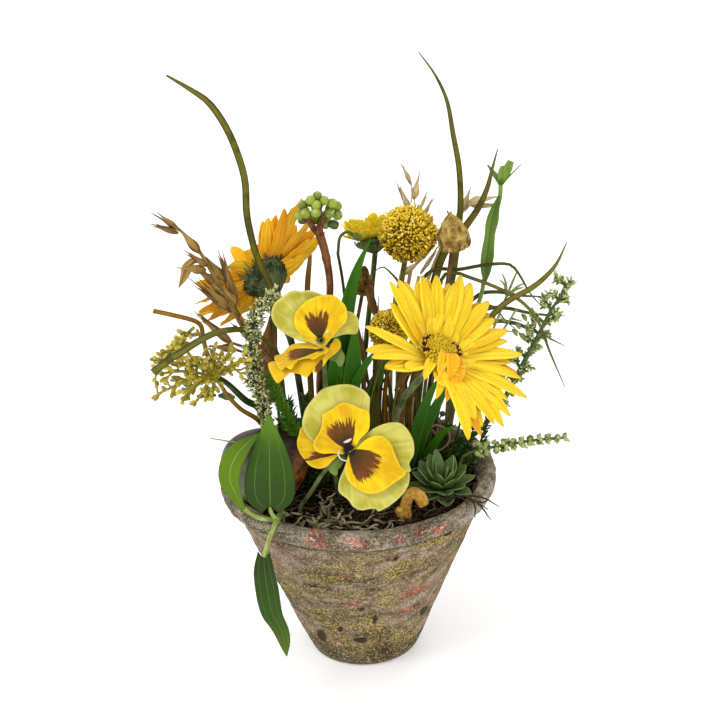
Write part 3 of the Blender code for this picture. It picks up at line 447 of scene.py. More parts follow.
# The bed is dark shredded moss and soil, glued down over the foam so that it hides it. Fine dry threads of
# sphagnum and thin roots lie all over it in curls, and some reach up the inside of the rim.
def tube(route, radii, sides=6, tone=0.5, capped=True):
    """A round strand along a route. radii is one radius, or one for each point of the route."""
    route = np.asarray(route, float)
    radii = np.broadcast_to(radii, len(route))
    along = np.gradient(route, axis=0)
    along /= np.maximum(np.linalg.norm(along, axis=1), 1e-9)[:, None]
    side = np.cross(along[0], (0.31, 0.95, 0.07) if abs(along[0][1]) < 0.9 else (1, 0, 0))
    rings = []
    angles = np.linspace(0, 2 * pi, sides, endpoint=False)
    for spot, ahead, size in zip(route, along, radii):
        side = side - ahead * (side @ ahead)
        side /= np.linalg.norm(side)
        up = np.cross(ahead, side)
        rings.append(spot + size * (np.cos(angles)[:, None] * side + np.sin(angles)[:, None] * up))
    shape = sheet(np.array(rings), closed=True, tone=tone)
    if not capped:
        return shape
    rows = len(route)
    ends = np.array([route[0] - along[0] * radii[0] * 0.4, route[-1] + along[-1] * radii[-1] * 0.4])
    first = np.arange(sides)
    last = first + (rows - 1) * sides
    caps = [np.stack([np.full(sides, rows * sides), np.roll(first, -1), first], axis=1),
            np.stack([np.full(sides, rows * sides + 1), last, np.roll(last, -1)], axis=1)]
    return Shape(np.concatenate([shape.points, ends]), shape.quads, np.concatenate(caps),
                 np.concatenate([shape.places, [(0.5, 0), (0.5, 1)]]), tone)


BED_RADIUS = 61.0
BED_HEIGHT = 98.0
bed_rings = np.concatenate([np.linspace(0.4, 52, 60), np.linspace(53, 64.2, 12)])
bed_points = revolved([(r, BED_HEIGHT + 0.4) for r in bed_rings[::-1]], 120)
bed_flat = bed_points.reshape(-1, 3)
bed_reach = np.hypot(bed_flat[:, 0], bed_flat[:, 1])
bed_flat[:, 2] += (1.6 * waves(bed_flat, 17, 11) + 1.1 * waves(bed_flat, 6, 12) + 0.6 * waves(bed_flat, 2.6, 13) + 0.6
                   + np.clip((bed_reach - 50) / 14, 0, 1) * 1.6)


def shredded_moss():
    soil = Finish("shredded_moss", Roughness=1.0, Specular_IOR_Level=0.1)
    lumps = soil.noise(260, 5)
    threads = soil.noise(90, 4, (6, 1, 1), distortion=2.0)
    colour = soil.coats(soil.mix(lumps.rise(0.38, 0.62), paint(15, 12, 8), paint(48, 39, 26)),
                        (threads.rise(0.58, 0.66) * 0.6, paint(96, 80, 54)),
                        (soil.noise(30, 3).rise(0.52, 0.64) * 0.5, paint(48, 52, 20)))
    return soil.done(colour, lumps, 1.4, 0.9)


def dry_thread(name, dark, light, rough=0.95):
    thread = Finish(name, Roughness=rough, Specular_IOR_Level=0.2)
    streaks = thread.noise(500, 3)
    colour = thread.mix(thread.tone() * 0.75 + streaks * 0.25, dark, light)
    return thread.done(colour, streaks, 0.15)


def curl(chance, spot, length, lift, bend=1.2):
    """The route of a short dry strand that wanders over the bed from spot."""
    heading = chance.uniform(0, 2 * pi)
    route = [np.array(spot, float)]
    turn = chance.normal(0, bend)
    rise = chance.uniform(0.2, 1.0) * lift
    steps = 7
    for i in range(steps):
        heading += turn / steps * 2 + chance.normal(0, 0.25)
        stride = length / steps
        climb = rise * (1 - 2 * i / steps) / 3
        route.append(route[-1] + (cos(heading) * stride, sin(heading) * stride, climb))
    return np.array(route)


def scattered(chance, count, centre, reach, limit=62.0):
    """Places on the bed around a centre, none beyond the pot's wall."""
    places = []
    while len(places) < count:
        x, y = chance.normal(centre, reach)
        if hypot(x, y) < limit:
            places.append((x, y))
    return places


thread_chance = np.random.default_rng(21)
threads = []
for x, y in scattered(thread_chance, 620, (0, 0), (40, 40)):
    spot = (x, y, BED_HEIGHT + thread_chance.uniform(0.8, 3.6))
    route = curl(thread_chance, spot, thread_chance.uniform(7, 20), 4.5)
    reach = np.hypot(route[:, 0], route[:, 1])
    route[:, :2] *= np.minimum(1, 64.5 / reach)[:, None]
    threads.append(tube(route, thread_chance.uniform(0.18, 0.42), 3, thread_chance.uniform(0, 1)))
piece("soil_and_moss", sheet(bed_points, closed=True), shredded_moss(), ["moss_bed"])
piece("dry_threads", together(threads), dry_thread("dry_thread", paint(26, 20, 13), paint(122, 102, 74)),
      ["moss_bed"])


# Reindeer moss is a real dried lichen: pale tan, springy, and forked again and again. A cushion of it sits
# loose on the bed at the front, under the lower pansy, and more tufts show behind it.
def forked(chance, spot, heading, length, size, depth, lift=0.25):
    """A strand that forks into two at its end, depth times."""
    heading = np.array(heading, float)
    heading /= np.linalg.norm(heading)
    route = [np.array(spot, float)]
    for _ in range(3):
        heading = heading + chance.normal(0, 0.30, 3)
        heading /= np.linalg.norm(heading)
        route.append(route[-1] + heading * length / 3)
    route = smooth(route, 6)
    strands = [tube(route, np.linspace(size, size * 0.78, 6), 5, chance.uniform(0, 1))]
    if depth:
        for side in (-1, 1):
            away = heading + side * np.cross(heading, (0, 0.2, 1)) * chance.uniform(0.5, 1.0) + (0, 0, lift)
            strands += forked(chance, route[-1], away, length * 0.72, size * 0.76, depth - 1, lift)
    return strands


lichen_chance = np.random.default_rng(5)
lichen = []
lichen_patches = (((-18, -44), (8, 5), 19, 1.1), ((10, -53), (11, 3), 6, 0.85), ((-4, -30), (10, 6), 6, 0.9),
                  ((0, 42), (24, 9), 18, 0.95))
for centre, reach, count, size in lichen_patches:
    for x, y in scattered(lichen_chance, count, centre, reach, 60):
        heading = (lichen_chance.normal(0, 1), lichen_chance.normal(-0.2, 1), lichen_chance.uniform(-0.1, 0.5))
        spot = (x, y, BED_HEIGHT + lichen_chance.uniform(1.2, 4.0))
        lichen += forked(lichen_chance, spot, heading, lichen_chance.uniform(7.5, 11.5), 0.92 * size, 2, 0.0)
lichen_shape = together(lichen)
lichen_reach = np.hypot(lichen_shape.points[:, 0], lichen_shape.points[:, 1])
lichen_shape.points[:, :2] *= np.minimum(1, 65.0 / lichen_reach)[:, None]
lichen_shape.points[:, 2] = np.clip(lichen_shape.points[:, 2], BED_HEIGHT + 0.6, BED_HEIGHT + 9.0)
piece("lichen_tangle", lichen_shape, dry_thread("lichen", paint(106, 96, 70), paint(196, 184, 148)),
      ["reindeer_moss"])


# Green moss: a low clump of brown-green feathery stems at the right of the bed, beside the succulent.
moss_chance = np.random.default_rng(8)
tufts = []
for x, y in [*scattered(moss_chance, 170, (49, 20), (6, 8), 62), *scattered(moss_chance, 60, (36, 4), (7, 7), 60)]:
    lean = (moss_chance.normal(0, 0.5), moss_chance.normal(0, 0.5), 1)
    spot = np.array((x, y, BED_HEIGHT + 0.5))
    tip = spot + np.array(lean) * moss_chance.uniform(3.0, 6.5)
    tufts.append(tube(smooth([spot, (spot + tip) / 2 + (0.4, 0, 0.3), tip], 5), (0.5, 0.75, 0.7, 0.5, 0.15), 5,
                      moss_chance.uniform(0, 1)))
piece("green_moss_clump", together(tufts), dry_thread("green_moss", paint(46, 44, 16), paint(116, 112, 52)),
      ["green_moss"])


# The round fruit is real and dried whole: a hard rind, purple-black and grey-green at the top and the left,
# rusty where it ripened at the right, with small corky specks. It is glued down on the moss.
fruit_x, fruit_y = -49.3, -21.0
fruit_profile = smooth([(0.2, 139.2), (4, 140.2), (10, 139.4), (18.5, 135.4), (22.8, 128.6), (23.2, 121.5), (20.2, 113.5),
                        (15.0, 106.4), (9.0, 100.6), (5.0, 98.6)], 44)
fruit_points = revolved(fruit_profile, 80)
fruit_flat = fruit_points.reshape(-1, 3)
fruit_flat[:, :2] *= (1 + 0.020 * waves(fruit_flat, 34, 31) + 0.005 * waves(fruit_flat, 7, 32))[:, None]
fruit_flat[:, :2] += (fruit_x, fruit_y)


def dried_rind():
    rind = Finish("dried_rind", Roughness=0.45, Specular_IOR_Level=0.4)
    x, y, z = [rind.node("ShaderNodeSeparateXYZ", None, (rind.where(),), output=axis) for axis in (0, 1, 2)]
    cloud = rind.noise(60, 5, distortion=0.8)
    fine = rind.noise(500, 4)
    specks = rind.cells(420).fall(0.12, 0.30)
    mottle = rind.noise(170, 5)
    scar = (((x + 0.0665) * (x + 0.0665) + (z - 0.1315) * (z - 0.1315)) * 1000000).fall(3, 34) * y.fall(-0.030, -0.024)
    ripe = (x + cloud * 0.014).rise(-0.034, -0.024) * z.fall(0.129, 0.137)
    colour = rind.coats(
        rind.mix(fine.rise(0.3, 0.7), paint(30, 22, 18), paint(56, 43, 35)),
        ((x + cloud * 0.02).fall(-0.050, -0.036) * z.fall(0.131, 0.137), rind.mix(fine, paint(52, 58, 40), paint(98, 100, 74))),
        (ripe, rind.mix((mottle * 0.6 + fine * 0.4).rise(0.36, 0.64), paint(84, 46, 14), paint(150, 92, 32))),
        (ripe * mottle.fall(0.36, 0.46) * 0.6, paint(44, 28, 16)),
        # Darker olive-brown low on the fruit, down where it sits in the moss: painted shade.
        (z.fall(0.104, 0.112) * 0.7, paint(52, 46, 26)),
        (specks * cloud.rise(0.40, 0.58) * 0.6, paint(112, 66, 46)),
        (scar * mottle.rise(0.30, 0.60) * 0.75, paint(128, 84, 68)))
    return rind.done(colour, fine * 0.6 + specks, 0.25, 0.5)


piece("dried_round_fruit", sheet(fruit_points, closed=True), dried_rind(), ["round_fruit"])


# The succulent is one soft plastic moulding: fleshy spoon-shaped leaves in rings round a stub, dark green with
# a bloom and paler margins, pushed into the moss so that its lowest leaves lie on the rim.
def eased(values, count):
    """Reads count values off a smooth curve through evenly spaced ones."""
    return smooth(np.stack([np.arange(len(values)) * 1000.0, values], axis=1), count)[:, 1]


def ribbon(route, widths, face, rows=16, columns=7, fold=0.0, crease=0.0, frill=0.0, sweep=0.0, body=0.0, tone=0.5,
           seed=0):
    """A leaf or petal along a route, widths from foot to tip. face is the side that its upper face looks to.

    fold lifts its edges, crease presses grooves along it, frill waves its edges, sweep draws its foot back into
    two lobes, and body makes it fleshy and closed.
    """
    spine = smooth(route, rows)
    along = np.gradient(spine, axis=0)
    along /= np.linalg.norm(along, axis=1)[:, None]
    across = np.cross(along, face)
    across /= np.linalg.norm(across, axis=1)[:, None]
    lift = np.cross(across, along)
    t = np.linspace(0, 1, rows)[:, None]
    half = np.maximum(eased(widths, rows), 0.05)[:, None] / 2
    if body:
        turn = np.linspace(0, 2 * pi, columns * 2, endpoint=False)[None, :]
        s = np.cos(turn)
        rise = body / 2 * np.sin(turn) * np.sqrt(np.clip(1 - (2 * t - 1) ** 8, 0.02, 1))
    else:
        s = np.linspace(-1, 1, columns)[None, :]
        rise = np.zeros((rows, columns))
    ripple = np.sin(t * 17 + seed * 1.7 + np.sign(s) * 1.1) + 0.6 * np.sin(t * 31 + seed)
    rise = rise + fold * np.abs(s) * half + crease * np.cos(3 * pi * s) * half + frill * ripple * s * s
    back = sweep * s * s * (1 - t) ** 3
    points = spine[:, None] + across[:, None] * (s * half)[..., None] + lift[:, None] * rise[..., None]
    points = points - along[:, None] * back[..., None]
    places = np.stack([np.broadcast_to((s + 1) / 2, rise.shape), np.broadcast_to(t, rise.shape)], axis=-1)
    return sheet(points, places, bool(body), tone)


def leaf_finish(name, foot, middle, tip, vein, veins=(), fibres=60.0, rough=0.58, relief=0.25, vein_width=0.014):
    """A leaf: its colour along it, pale veins at shares of its width, and fine fibres that run along it."""
    leaf = Finish(name, Roughness=rough, Specular_IOR_Level=0.22)
    across, along = leaf.place()
    fibre = leaf.noise(1, 3, vector=leaf.vector(across * fibres, along * 5, leaf.tone() * 20))
    cloud = leaf.noise(130, 4)
    colour = leaf.mix(along.rise(0.05, 0.55), foot, middle)
    colour = leaf.mix(along.rise(0.5, 1.0), colour, tip)
    colour = leaf.mix(leaf.tone() * 0.3, colour, tip)
    shade = (fibre - 0.5) * 0.9 + (cloud - 0.5) * 0.9
    colour = leaf.coats(colour, (shade.rise(0.0, 0.35) * 0.45, middle), ((0 - shade).rise(0.0, 0.4) * 0.5, foot))
    height = fibre * 0.5
    for spot in veins:
        line = across.near(spot, vein_width) * (0.6 if spot == 0.5 else 0.3)
        colour = leaf.mix(line, colour, vein)
        height = height + line
    return leaf.done(colour, height, relief, 0.6, cloud * 0.25 + (rough - 0.12))


succulent_chance = np.random.default_rng(41)
succulent_heart = np.array((44.6, -17.0, 101.6))
succulent_leaves = []
for ring_count, reach, rise, start, width in ((7, 19.5, 3.0, -78, 9.6), (7, 17.5, 8.0, 20, 9.4), (6, 13.0, 13.0, 0, 8.4),
                                              (5, 8.0, 16.0, 40, 6.4), (3, 3.6, 14.5, 10, 4.2)):
    for i in range(ring_count):
        angle = radians(start + succulent_chance.normal(0, 5)) + 2 * pi * i / ring_count
        heading = np.array((cos(angle), sin(angle), 0.0))
        far = reach * succulent_chance.uniform(0.88, 1.06)
        high = rise * succulent_chance.uniform(0.9, 1.1) + 3.0 * heading[1]
        run = [succulent_heart + heading * 1.0, succulent_heart + heading * far * 0.5 + (0, 0, high * 0.30),
               succulent_heart + heading * far * 0.85 + (0, 0, high * 0.72), succulent_heart + heading * far + (0, 0, high)]
        succulent_leaves.append(ribbon(run, (2.2, 4.4, width * 0.86, width, width * 0.98, width * 0.72, 1.0), heading * -0.8 + (0, 0, 1), 16, 8,
                                       fold=0.36, body=1.3, tone=succulent_chance.uniform(0, 1)))
        points = succulent_leaves[-1].points
        points[:, 2] = np.maximum(points[:, 2], BED_HEIGHT + 1.5)


def succulent_skin():
    skin = Finish("succulent_skin", Roughness=0.4, Specular_IOR_Level=0.45)
    across, along = skin.place()
    cloud = skin.noise(240, 4)
    margin = across.near(0.5, 0.49).fall(0.02, 0.16)
    colour = skin.coats(
        skin.mix(along.rise(0.05, 0.7), paint(38, 54, 22), paint(88, 116, 50)),
        (cloud.rise(0.42, 0.62) * 0.5, paint(66, 92, 44)),
        (skin.tone().rise(0.55, 0.95) * 0.45, paint(112, 132, 96)),
        (margin * along.rise(0.25, 0.6) * 0.75, paint(142, 164, 96)))
    return skin.done(colour, cloud, 0.2, 0.4)


piece("succulent", together(succulent_leaves), succulent_skin(), ["succulent_rosette"])


# The ochre stub is a piece of dried pod: a thick finger that bends over and a shorter one at its foot, ribbed
# along their length and cut off square. It is glued on the moss at the front.
def dried_pod_skin(name, dark, light, ribs):
    skin = Finish(name, Roughness=0.75, Specular_IOR_Level=0.25)
    across, along = skin.place()
    fine = skin.noise(420, 4)
    rib = skin.noise(1, 3, vector=skin.vector(across * ribs, along * 1.5))
    ring = skin.noise(1, 3, vector=skin.vector(across * 2, along * 22, 3.0))
    colour = skin.mix((rib * 0.5 + fine * 0.4 + ring * 0.1).rise(0.38, 0.60), dark, light)
    return skin.done(colour, rib + ring * 0.15 + fine * 0.4, 0.4, 0.7)


stub_main = smooth([(24.2, -42, 98.2), (24.4, -42.5, 107), (26.6, -43, 113.4), (31.0, -43.4, 113.0), (33.8, -44, 107.6)], 26)
stub_side = smooth([(23.5, -42, 99), (21.5, -43.6, 103), (20.5, -44.6, 106)], 12)
stub_cut = [(33.8, -44, 107.6), (34.0, -44.05, 107.1)]
stub = together([tube(stub_main, eased((3.0, 3.1, 3.1, 3.3, 3.1), 26), 16), tube(stub_side, eased((3.0, 2.8, 2.0), 12), 14),
                 tube(stub_cut, (2.6, 1.8), 14)])
stub.points += 0.25 * waves(stub.points, 3.2, 51)[:, None] * (1, 1, 0.4)
piece("ochre_pod_stub", stub, dried_pod_skin("ochre_pod", paint(182, 122, 46), paint(234, 184, 92), 26), ["ochre_stub"])


# Dark root twigs come out of the moss and claw over the rim at the right. They are real, brittle and forked.
claw_chance = np.random.default_rng(61)
claw_routes = (
    ([(46, -32, 92), (47, -33, 103), (55, -39, 109.2), (60.3, -46, 109.6), (66.9, -50, 106.5)], 0.75),
    ([(58, -43, 109.4), (63, -48, 107.6), (67.9, -54, 102.6)], 0.55),
    ([(57, -42, 109.4), (60, -48, 108.4), (59.8, -54, 103.5)], 0.5),
    ([(61, -46, 109.4), (65, -47, 109), (67.2, -46, 110.4)], 0.45),
    ([(55, -39, 109), (64, -44, 110.6), (73, -49, 107)], 0.5),
    ([(50, -35, 106), (54, -42, 109.4), (56, -47, 109), (55.6, -51, 106.5)], 0.45),
)
claws = [tube(smooth(run, 14) + claw_chance.normal(0, 0.12, (14, 3)), eased((size, size, size * 0.8, size * 0.35), 14), 7,
              claw_chance.uniform(0, 0.6)) for run, size in claw_routes]
piece("root_twigs", together(claws), dry_thread("root_bark", paint(34, 25, 18), paint(104, 90, 72)), ["rim_twigs"])


# The trailing vine is moulded in three leaves on one wire: two stand up against the fruit and one hangs down
# the pot. The stem is covered in pale green plastic, and each leaf is printed silk with raised veins.
def planted(points, count):
    """The route of a stem that stands upright in the moss at its first point, given as (x, y)."""
    x, y = points[0]
    lead = np.linalg.norm(np.array((x, y, 104.0)) - points[1])
    run = smooth([(x, y, 104 - lead), (x, y, 104), *points[1:]], count * 2)
    return np.concatenate([[(x, y, 92)], run[run[:, 2] > 99]])


def stem_skin(name, dark, light, ribs=14.0, rough=0.6, relief=0.2):
    """A stem's skin: ribs along it, cloudy shade, and the tone of each one among its like."""
    skin = Finish(name, Roughness=rough, Specular_IOR_Level=0.3)
    across, along = skin.place()
    rib = skin.noise(1, 2, vector=skin.vector(across * ribs, along * 4, skin.tone() * 30))
    cloud = skin.noise(110, 5)
    fine = skin.noise(900, 3)
    colour = skin.mix((rib * 0.45 + cloud * 0.35 + fine * 0.2 + (skin.tone() - 0.5) * 0.16).rise(0.40, 0.60), dark, light)
    return skin.done(colour, rib + fine * 0.5, relief, 0.7)


vine_green = stem_skin("vine_green", paint(100, 118, 52), paint(168, 182, 102), 8)
vine_main = planted([(-40, -44), (-41, -56, 112), (-41, -67, 117.4), (-41.3, -75, 119.4), (-43.6, -79.5, 117.6),
                     (-46.6, -83.4, 111.2), (-49.0, -84.6, 103.8)], 24)
vine_parts = [
    tube(vine_main, eased((0.9, 0.9, 1.0, 1.25, 1.3, 1.15, 1.3), len(vine_main)), 9),
    tube(smooth([(-41, -75.5, 120), (-43, -76, 121.6), (-44.6, -75.6, 124.4), (-45, -75, 126.8)], 10), (1.1,) * 8 + (0.9, 0.7), 8),
    tube(smooth([(-41, -75.5, 119.8), (-49.3, -75.4, 120.6), (-56.2, -74.2, 124.4), (-60.5, -72.8, 129)], 18), eased((1.2, 1.2, 1.3, 0.9), 18), 8),
    tube(smooth([(-45.2, -80, 117), (-46.8, -80.4, 118.2), (-47.4, -80.2, 116.4)], 6), (0.8, 0.8, 0.7, 0.6, 0.6, 0.4), 6),
    tube(smooth([(-65, -68, 152), (-60, -60, 155.6), (-66, -61, 158.2), (-73.5, -61, 160)], 14), eased((0.5, 0.5, 0.4, 0.3), 14), 6),
]
piece("vine_wire_stem", together(vine_parts), vine_green, ["vine_stem"])
leaf_veins = (0.5, 0.2, 0.8)
leaf_vein = paint(116, 148, 56)
upright_green = leaf_finish("upright_leaf", paint(26, 44, 0), paint(42, 70, 2), paint(90, 128, 30), leaf_vein, leaf_veins)
folded_green = leaf_finish("folded_leaf", paint(90, 118, 14), paint(94, 124, 12), paint(62, 92, 8), paint(150, 176, 92),
                           (0.5,), vein_width=0.03)
hanging_green = leaf_finish("hanging_leaf", paint(26, 46, 0), paint(40, 70, 2), paint(78, 104, 6), leaf_vein, leaf_veins)
piece("vine_leaf_upright",
      ribbon([(-44.9, -75, 126.6), (-44.6, -73.0, 133), (-44.4, -69, 143), (-44, -62.5, 156), (-43.6, -55.5, 169.6)],
             (8, 20, 24.6, 25.6, 25, 23.6, 21.4, 18.6, 15.4, 11.8, 8, 4.2, 0.5), (0.05, -1, 0.40), 44, 25, fold=0.05, frill=0.15, sweep=3.0,
             seed=1), upright_green, ["upright_vine_leaf"], 0.4)
piece("vine_leaf_folded",
      ribbon([(-58.6, -74.4, 125.6), (-62.0, -73.0, 134.5), (-64.2, -71.5, 141.5), (-63.0, -69.5, 149), (-57.6, -67, 156.6),
              (-48.2, -64, 163.4)], (2.4, 6.0, 9.6, 11.4, 11.6, 9.4, 5.2, 0.5), (-0.45, -1, 0.30), 38, 17, fold=0.30, frill=0.2, seed=2),
      folded_green, ["folded_vine_leaf"], 0.4)
piece("vine_leaf_hanging",
      ribbon([(-49.1, -84.4, 103.6), (-49.2, -84.6, 96), (-48.6, -82.2, 84), (-47.2, -79.5, 68), (-42.6, -75.8, 52.0),
              (-41.4, -71.6, 35.6)], (6, 10.5, 12.4, 12.4, 11.6, 10.2, 8.2, 5.4, 0.4), (-0.25, -1, 0.1), 38, 17, fold=0.14,
             frill=0.25, sweep=3.0, seed=3), hanging_green, ["hanging_vine_leaf"], 0.4)


# The two pansies are silk: every petal is cut from polyester cloth, dyed, printed with a dark ragged blotch,
# pressed into waves with a hot tool and glued at the eye, where the end of the wire shows as a small loop.
def facing(centre, axis, across=(1, 0, 0)):
    """The frame of a head: its Z along axis, its X as near to across as it can be."""
    z = Vector(axis).normalized()
    y = z.cross(Vector(across)).normalized()
    return Matrix.Translation(Vector(centre)) @ Matrix((y.cross(z), y, z)).transposed().to_4x4()


def cut_petal(outline, depth, hub=(0, 0), cup=0.006, fold=0.9, frill=0.9, seed=0, rows=16, columns=100):
    """A petal cut to an outline in the plane of its head, domed round its hub and pressed into waves."""
    edge = smooth([*outline, outline[0]], columns + 1)[:-1]
    shares = np.linspace(0.02, 1, rows)[:, None, None]
    flat = np.array(hub) + (edge[None] - hub) * shares
    spots = np.concatenate([flat, np.zeros_like(flat[..., :1])], axis=-1).reshape(-1, 3)
    share = np.broadcast_to(shares[..., 0], flat.shape[:2]).ravel()
    reach = np.hypot(spots[:, 0], spots[:, 1])
    spots[:, 2] = (depth + cup * reach ** 2 + fold * share ** 1.5 * waves(spots, 24, seed)
                   + frill * share ** 4 * waves(spots, 9, seed + 1))
    return sheet(spots.reshape(rows, columns, 3), spots[:, :2] / 100 + 0.5, True, share)


def petal_print(name, deep, light, rim, fans=(), eye=0.0, seed=0.0):
    """Dyed silk with printed blotches: each fan is its direction and half spread in degrees, and its reach."""
    silk = Finish(name, Roughness=0.7, Specular_IOR_Level=0.2, Sheen_Weight=0.15)
    x, y = [(share - 0.5) * 100 for share in silk.place()]
    reach = (x * x + y * y) ** 0.5
    angle = x.maths("ARCTAN2", y, x)
    pleat = silk.noise(1, 2, vector=silk.vector(angle * 14, reach * 0.03, seed))
    ray = silk.noise(1, 3, vector=silk.vector(angle * 13, reach * 0.06, seed + 4))
    hair = silk.noise(1, 2, vector=silk.vector(angle * 40, reach * 0.12, seed + 8))
    cloud = silk.noise(1, 2, vector=silk.vector(x * 0.075, y * 0.075, seed + 2))
    weave = silk.noise(1, 2, vector=silk.vector(x * 3.4, y * 3.4, seed))
    shade = cloud * 0.6 + pleat * 0.25 + weave * 0.15
    colour = silk.coats(silk.mix(shade.rise(0.40, 0.60), deep, light), (silk.tone().rise(0.90, 1.0) * 0.6, rim))
    for direction, spread, far in fans:
        lean = (x * cos(radians(direction)) + y * sin(radians(direction))) / (reach + 0.01)
        inside = lean.rise(cos(radians(spread + 9)), cos(radians(spread * 0.55)))
        length = (ray * 0.85 + hair * 0.65 + 0.26) * inside * far
        mask = (length - reach).rise(-0.35, 0.55)
        brown = silk.mix(reach.rise(far * 0.25, far * 0.85), paint(36, 16, 12), silk.mix(hair.rise(0.4, 0.6), paint(66, 26, 12), paint(112, 54, 26)))
        colour = silk.mix(mask * 0.95, colour, brown)
    if eye:
        colour = silk.mix((eye + (ray - 0.5) * 5 + hair - reach).rise(-0.8, 1.2), colour, paint(24, 15, 13))
    return silk.done(colour, pleat * 0.6 + weave * 0.25, 0.28, 0.4)


LEMON = (paint(208, 160, 4), paint(236, 200, 14), paint(244, 214, 44))
PALE = (paint(168, 160, 52), paint(204, 198, 98), paint(214, 210, 126))
GOLDEN = (paint(196, 156, 10), paint(226, 186, 26), paint(234, 204, 60))
pansy_a = facing((-16, -45, 205), (0.05, -0.93, 0.36))
a_left = [(-3, 1), (-8.5, -1), (-15.1, 2.1), (-20.3, 5.6), (-23.6, 10.8), (-23.9, 14.9), (-22.1, 19.2), (-17.7, 22.6), (-14.6, 24.6),
          (-11.5, 25.1), (-8.5, 24.4), (-5.4, 24.9), (-2.3, 24.1), (1.3, 22.6), (6.9, 19), (4, 8)]
a_right = [(0, 0), (2, -1), (8, 1), (13, 2), (18.2, 2.1), (19.5, 5.6), (19.5, 9.2), (17.2, 12.3), (14, 13.5), (9, 12), (4, 6)]
a_upper = [(-0.8, -3.6), (-5.9, -1), (-10, 3.1), (-12.6, 7.7), (-12.6, 12.3), (-10.5, 15.9), (-6.4, 19.5), (-1.8, 21.5),
           (2.8, 22.3), (7.4, 21.8), (10.5, 19.5), (13.1, 16.4), (13.9, 12.8), (13.6, 9.2), (11, 6.2), (6.9, 2.1), (3.8, -1.5), (1.8, -3.6)]
a_tray = [(-3.2, 6.7), (-7.3, 9.2), (-12, 10.3), (-15.7, 9.2), (-19.8, 5.3), (-23.7, 4.7), (-22.8, -2.9), (-20.1, -10.3),
          (-18.1, -8.8), (-15, -12), (-14, -6.9), (-11.4, -5.6), (-6.3, -4.9), (-3.7, -7), (-0.1, -4.4), (3.5, -2.4), (3.3, 1.6), (0.4, 4.3)]
a_lip = [(-22.8, -0.3), (-26.7, -1.9), (-24.9, -8.8), (-21.9, -13.4), (-19.8, -9.3), (-16.7, -8.6), (-12.1, -9), (-7.6, -11.9),
         (-5, -9.3), (-1.9, -5.2), (2.3, -0.6), (0.9, 2.7), (-4.2, 3.1), (-14, 2)]
a_small = [(0.8, -3.7), (3.2, 1.5), (6.1, 5.1), (8.4, 7.8), (10.8, 5.6), (10.5, 2.8), (8.1, -0.2), (4.2, -3.4), (1.3, -7.5),
           (-1.6, -11), (-4.9, -11.9), (-3.7, -9.1)]
piece("pansy_a_pale_lobes", together([cut_petal(a_left, 0.4, (-6, 9), 0.004, 1.3, 0.7, 101), cut_petal(a_right, -0.2, (8, 5), 0.004, 0.8, 0.4, 102)])
      .moved(pansy_a), petal_print("pale_silk_a", *PALE), ["pansy_a_back_petals"], 0.4)
piece("pansy_a_top_petal", cut_petal(a_upper, 2.2, (0, 6), 0.006, 1.0, 0.3, 103).moved(pansy_a),
      petal_print("printed_silk_a", *LEMON, ((98, 40, 13.5),), 1.8, 5.0), ["pansy_a_upper_petal"], 0.4)
tray = facing((-16, -51.2, 201.4), (-0.1, -0.12, 0.99))
piece("pansy_a_level_petal", cut_petal(a_tray, 0.4, (-8, 0), -0.004, 0.7, 0.6, 104).moved(tray),
      petal_print("printed_silk_tray", *LEMON, ((180, 27, 16.0),), 1.4, 9.0), ["pansy_a_lower_petals"], 0.4)
piece("pansy_a_front_lip", cut_petal(a_lip, 0.0, (-10, -4), -0.003, 0.8, 0.5, 105).moved(facing((-16, -52, 199), (-0.05, -0.5, 0.86))),
      petal_print("lip_silk", *GOLDEN), ["pansy_a_lower_petals"], 0.4)
piece("pansy_a_small_petal", cut_petal(a_small, 0.3, (2.4, -2.4), 0.0, 0.3, 0.3, 106).moved(facing((-16, -51, 201), (0.4, -0.65, 0.65))),
      petal_print("small_petal_silk", *LEMON, ((262, 14, 11.0), (40, 12, 7.0)), 0.8, 3.0), ["pansy_a_lower_petals"], 0.4)

pansy_b = facing((-4, -60, 149.8), (0.02, -0.91, 0.42)) @ Matrix.Scale(1.05, 4)
b_left = [(-4, 2), (-12, 9), (-21.6, 12), (-23.9, 8), (-24.9, 4.2), (-23.9, 0), (-21.6, -3.8), (-18.8, -7), (-14.5, -8.4), (-10.8, -7.5),
          (-8.4, -5.2), (-5, -2)]
b_pale_upper = [(0, 0), (-8, 1), (-17.3, 4.9), (-21.1, 9.8), (-22, 13.6), (-21.3, 16.9), (-19.7, 21.1), (-15.5, 26.3), (-11.3, 30), (-6.6, 31.2),
                (-2.3, 31.7), (1.9, 31.4), (5.6, 30), (8.4, 28.4), (10.8, 25.3), (11, 23.9), (10.6, 19.2), (9.8, 11.7), (5, 4)]
b_pale_right = [(0, -1), (2.8, 0.9), (5.6, 4.2), (8.4, 7), (12.2, 9.8), (16.9, 11.7), (21.1, 12.4), (24.9, 12), (27.7, 9.8), (30, 6.1), (31.2, 2.3),
                (31, -3.3), (28.6, -7.5), (28.4, -11.7), (16, -10), (6, -5)]
b_pale_lower = [(0, -2), (8, -4), (18, -8), (27.6, -11), (28.4, -16), (26.3, -20.2), (22.5, -24.4), (17.8, -27.7), (13.1, -30), (11.7, -28.6),
                (8, -28.6), (4.7, -29), (0.9, -27.2), (-1.4, -23.9), (-5.2, -20.6), (-5.9, -17.4), (-4.7, -13), (-2.8, -9.4), (-1, -4)]
b_upper = [(-3, -2), (-8.4, -1.2), (-12.2, -1.2), (-15.5, 0), (-17.1, 2.8), (-16.4, 5.6), (-13.6, 9.8), (-12.4, 13.6), (-12.2, 17.4), (-11.3, 18.3),
           (-8, 19.7), (-4.7, 21.8), (-1.4, 23), (2.8, 21.6), (6.6, 19.7), (10.1, 18.3), (10.6, 14.5), (10.1, 9.8), (8.4, 7.5), (5.6, 4.9), (2.8, 1)]
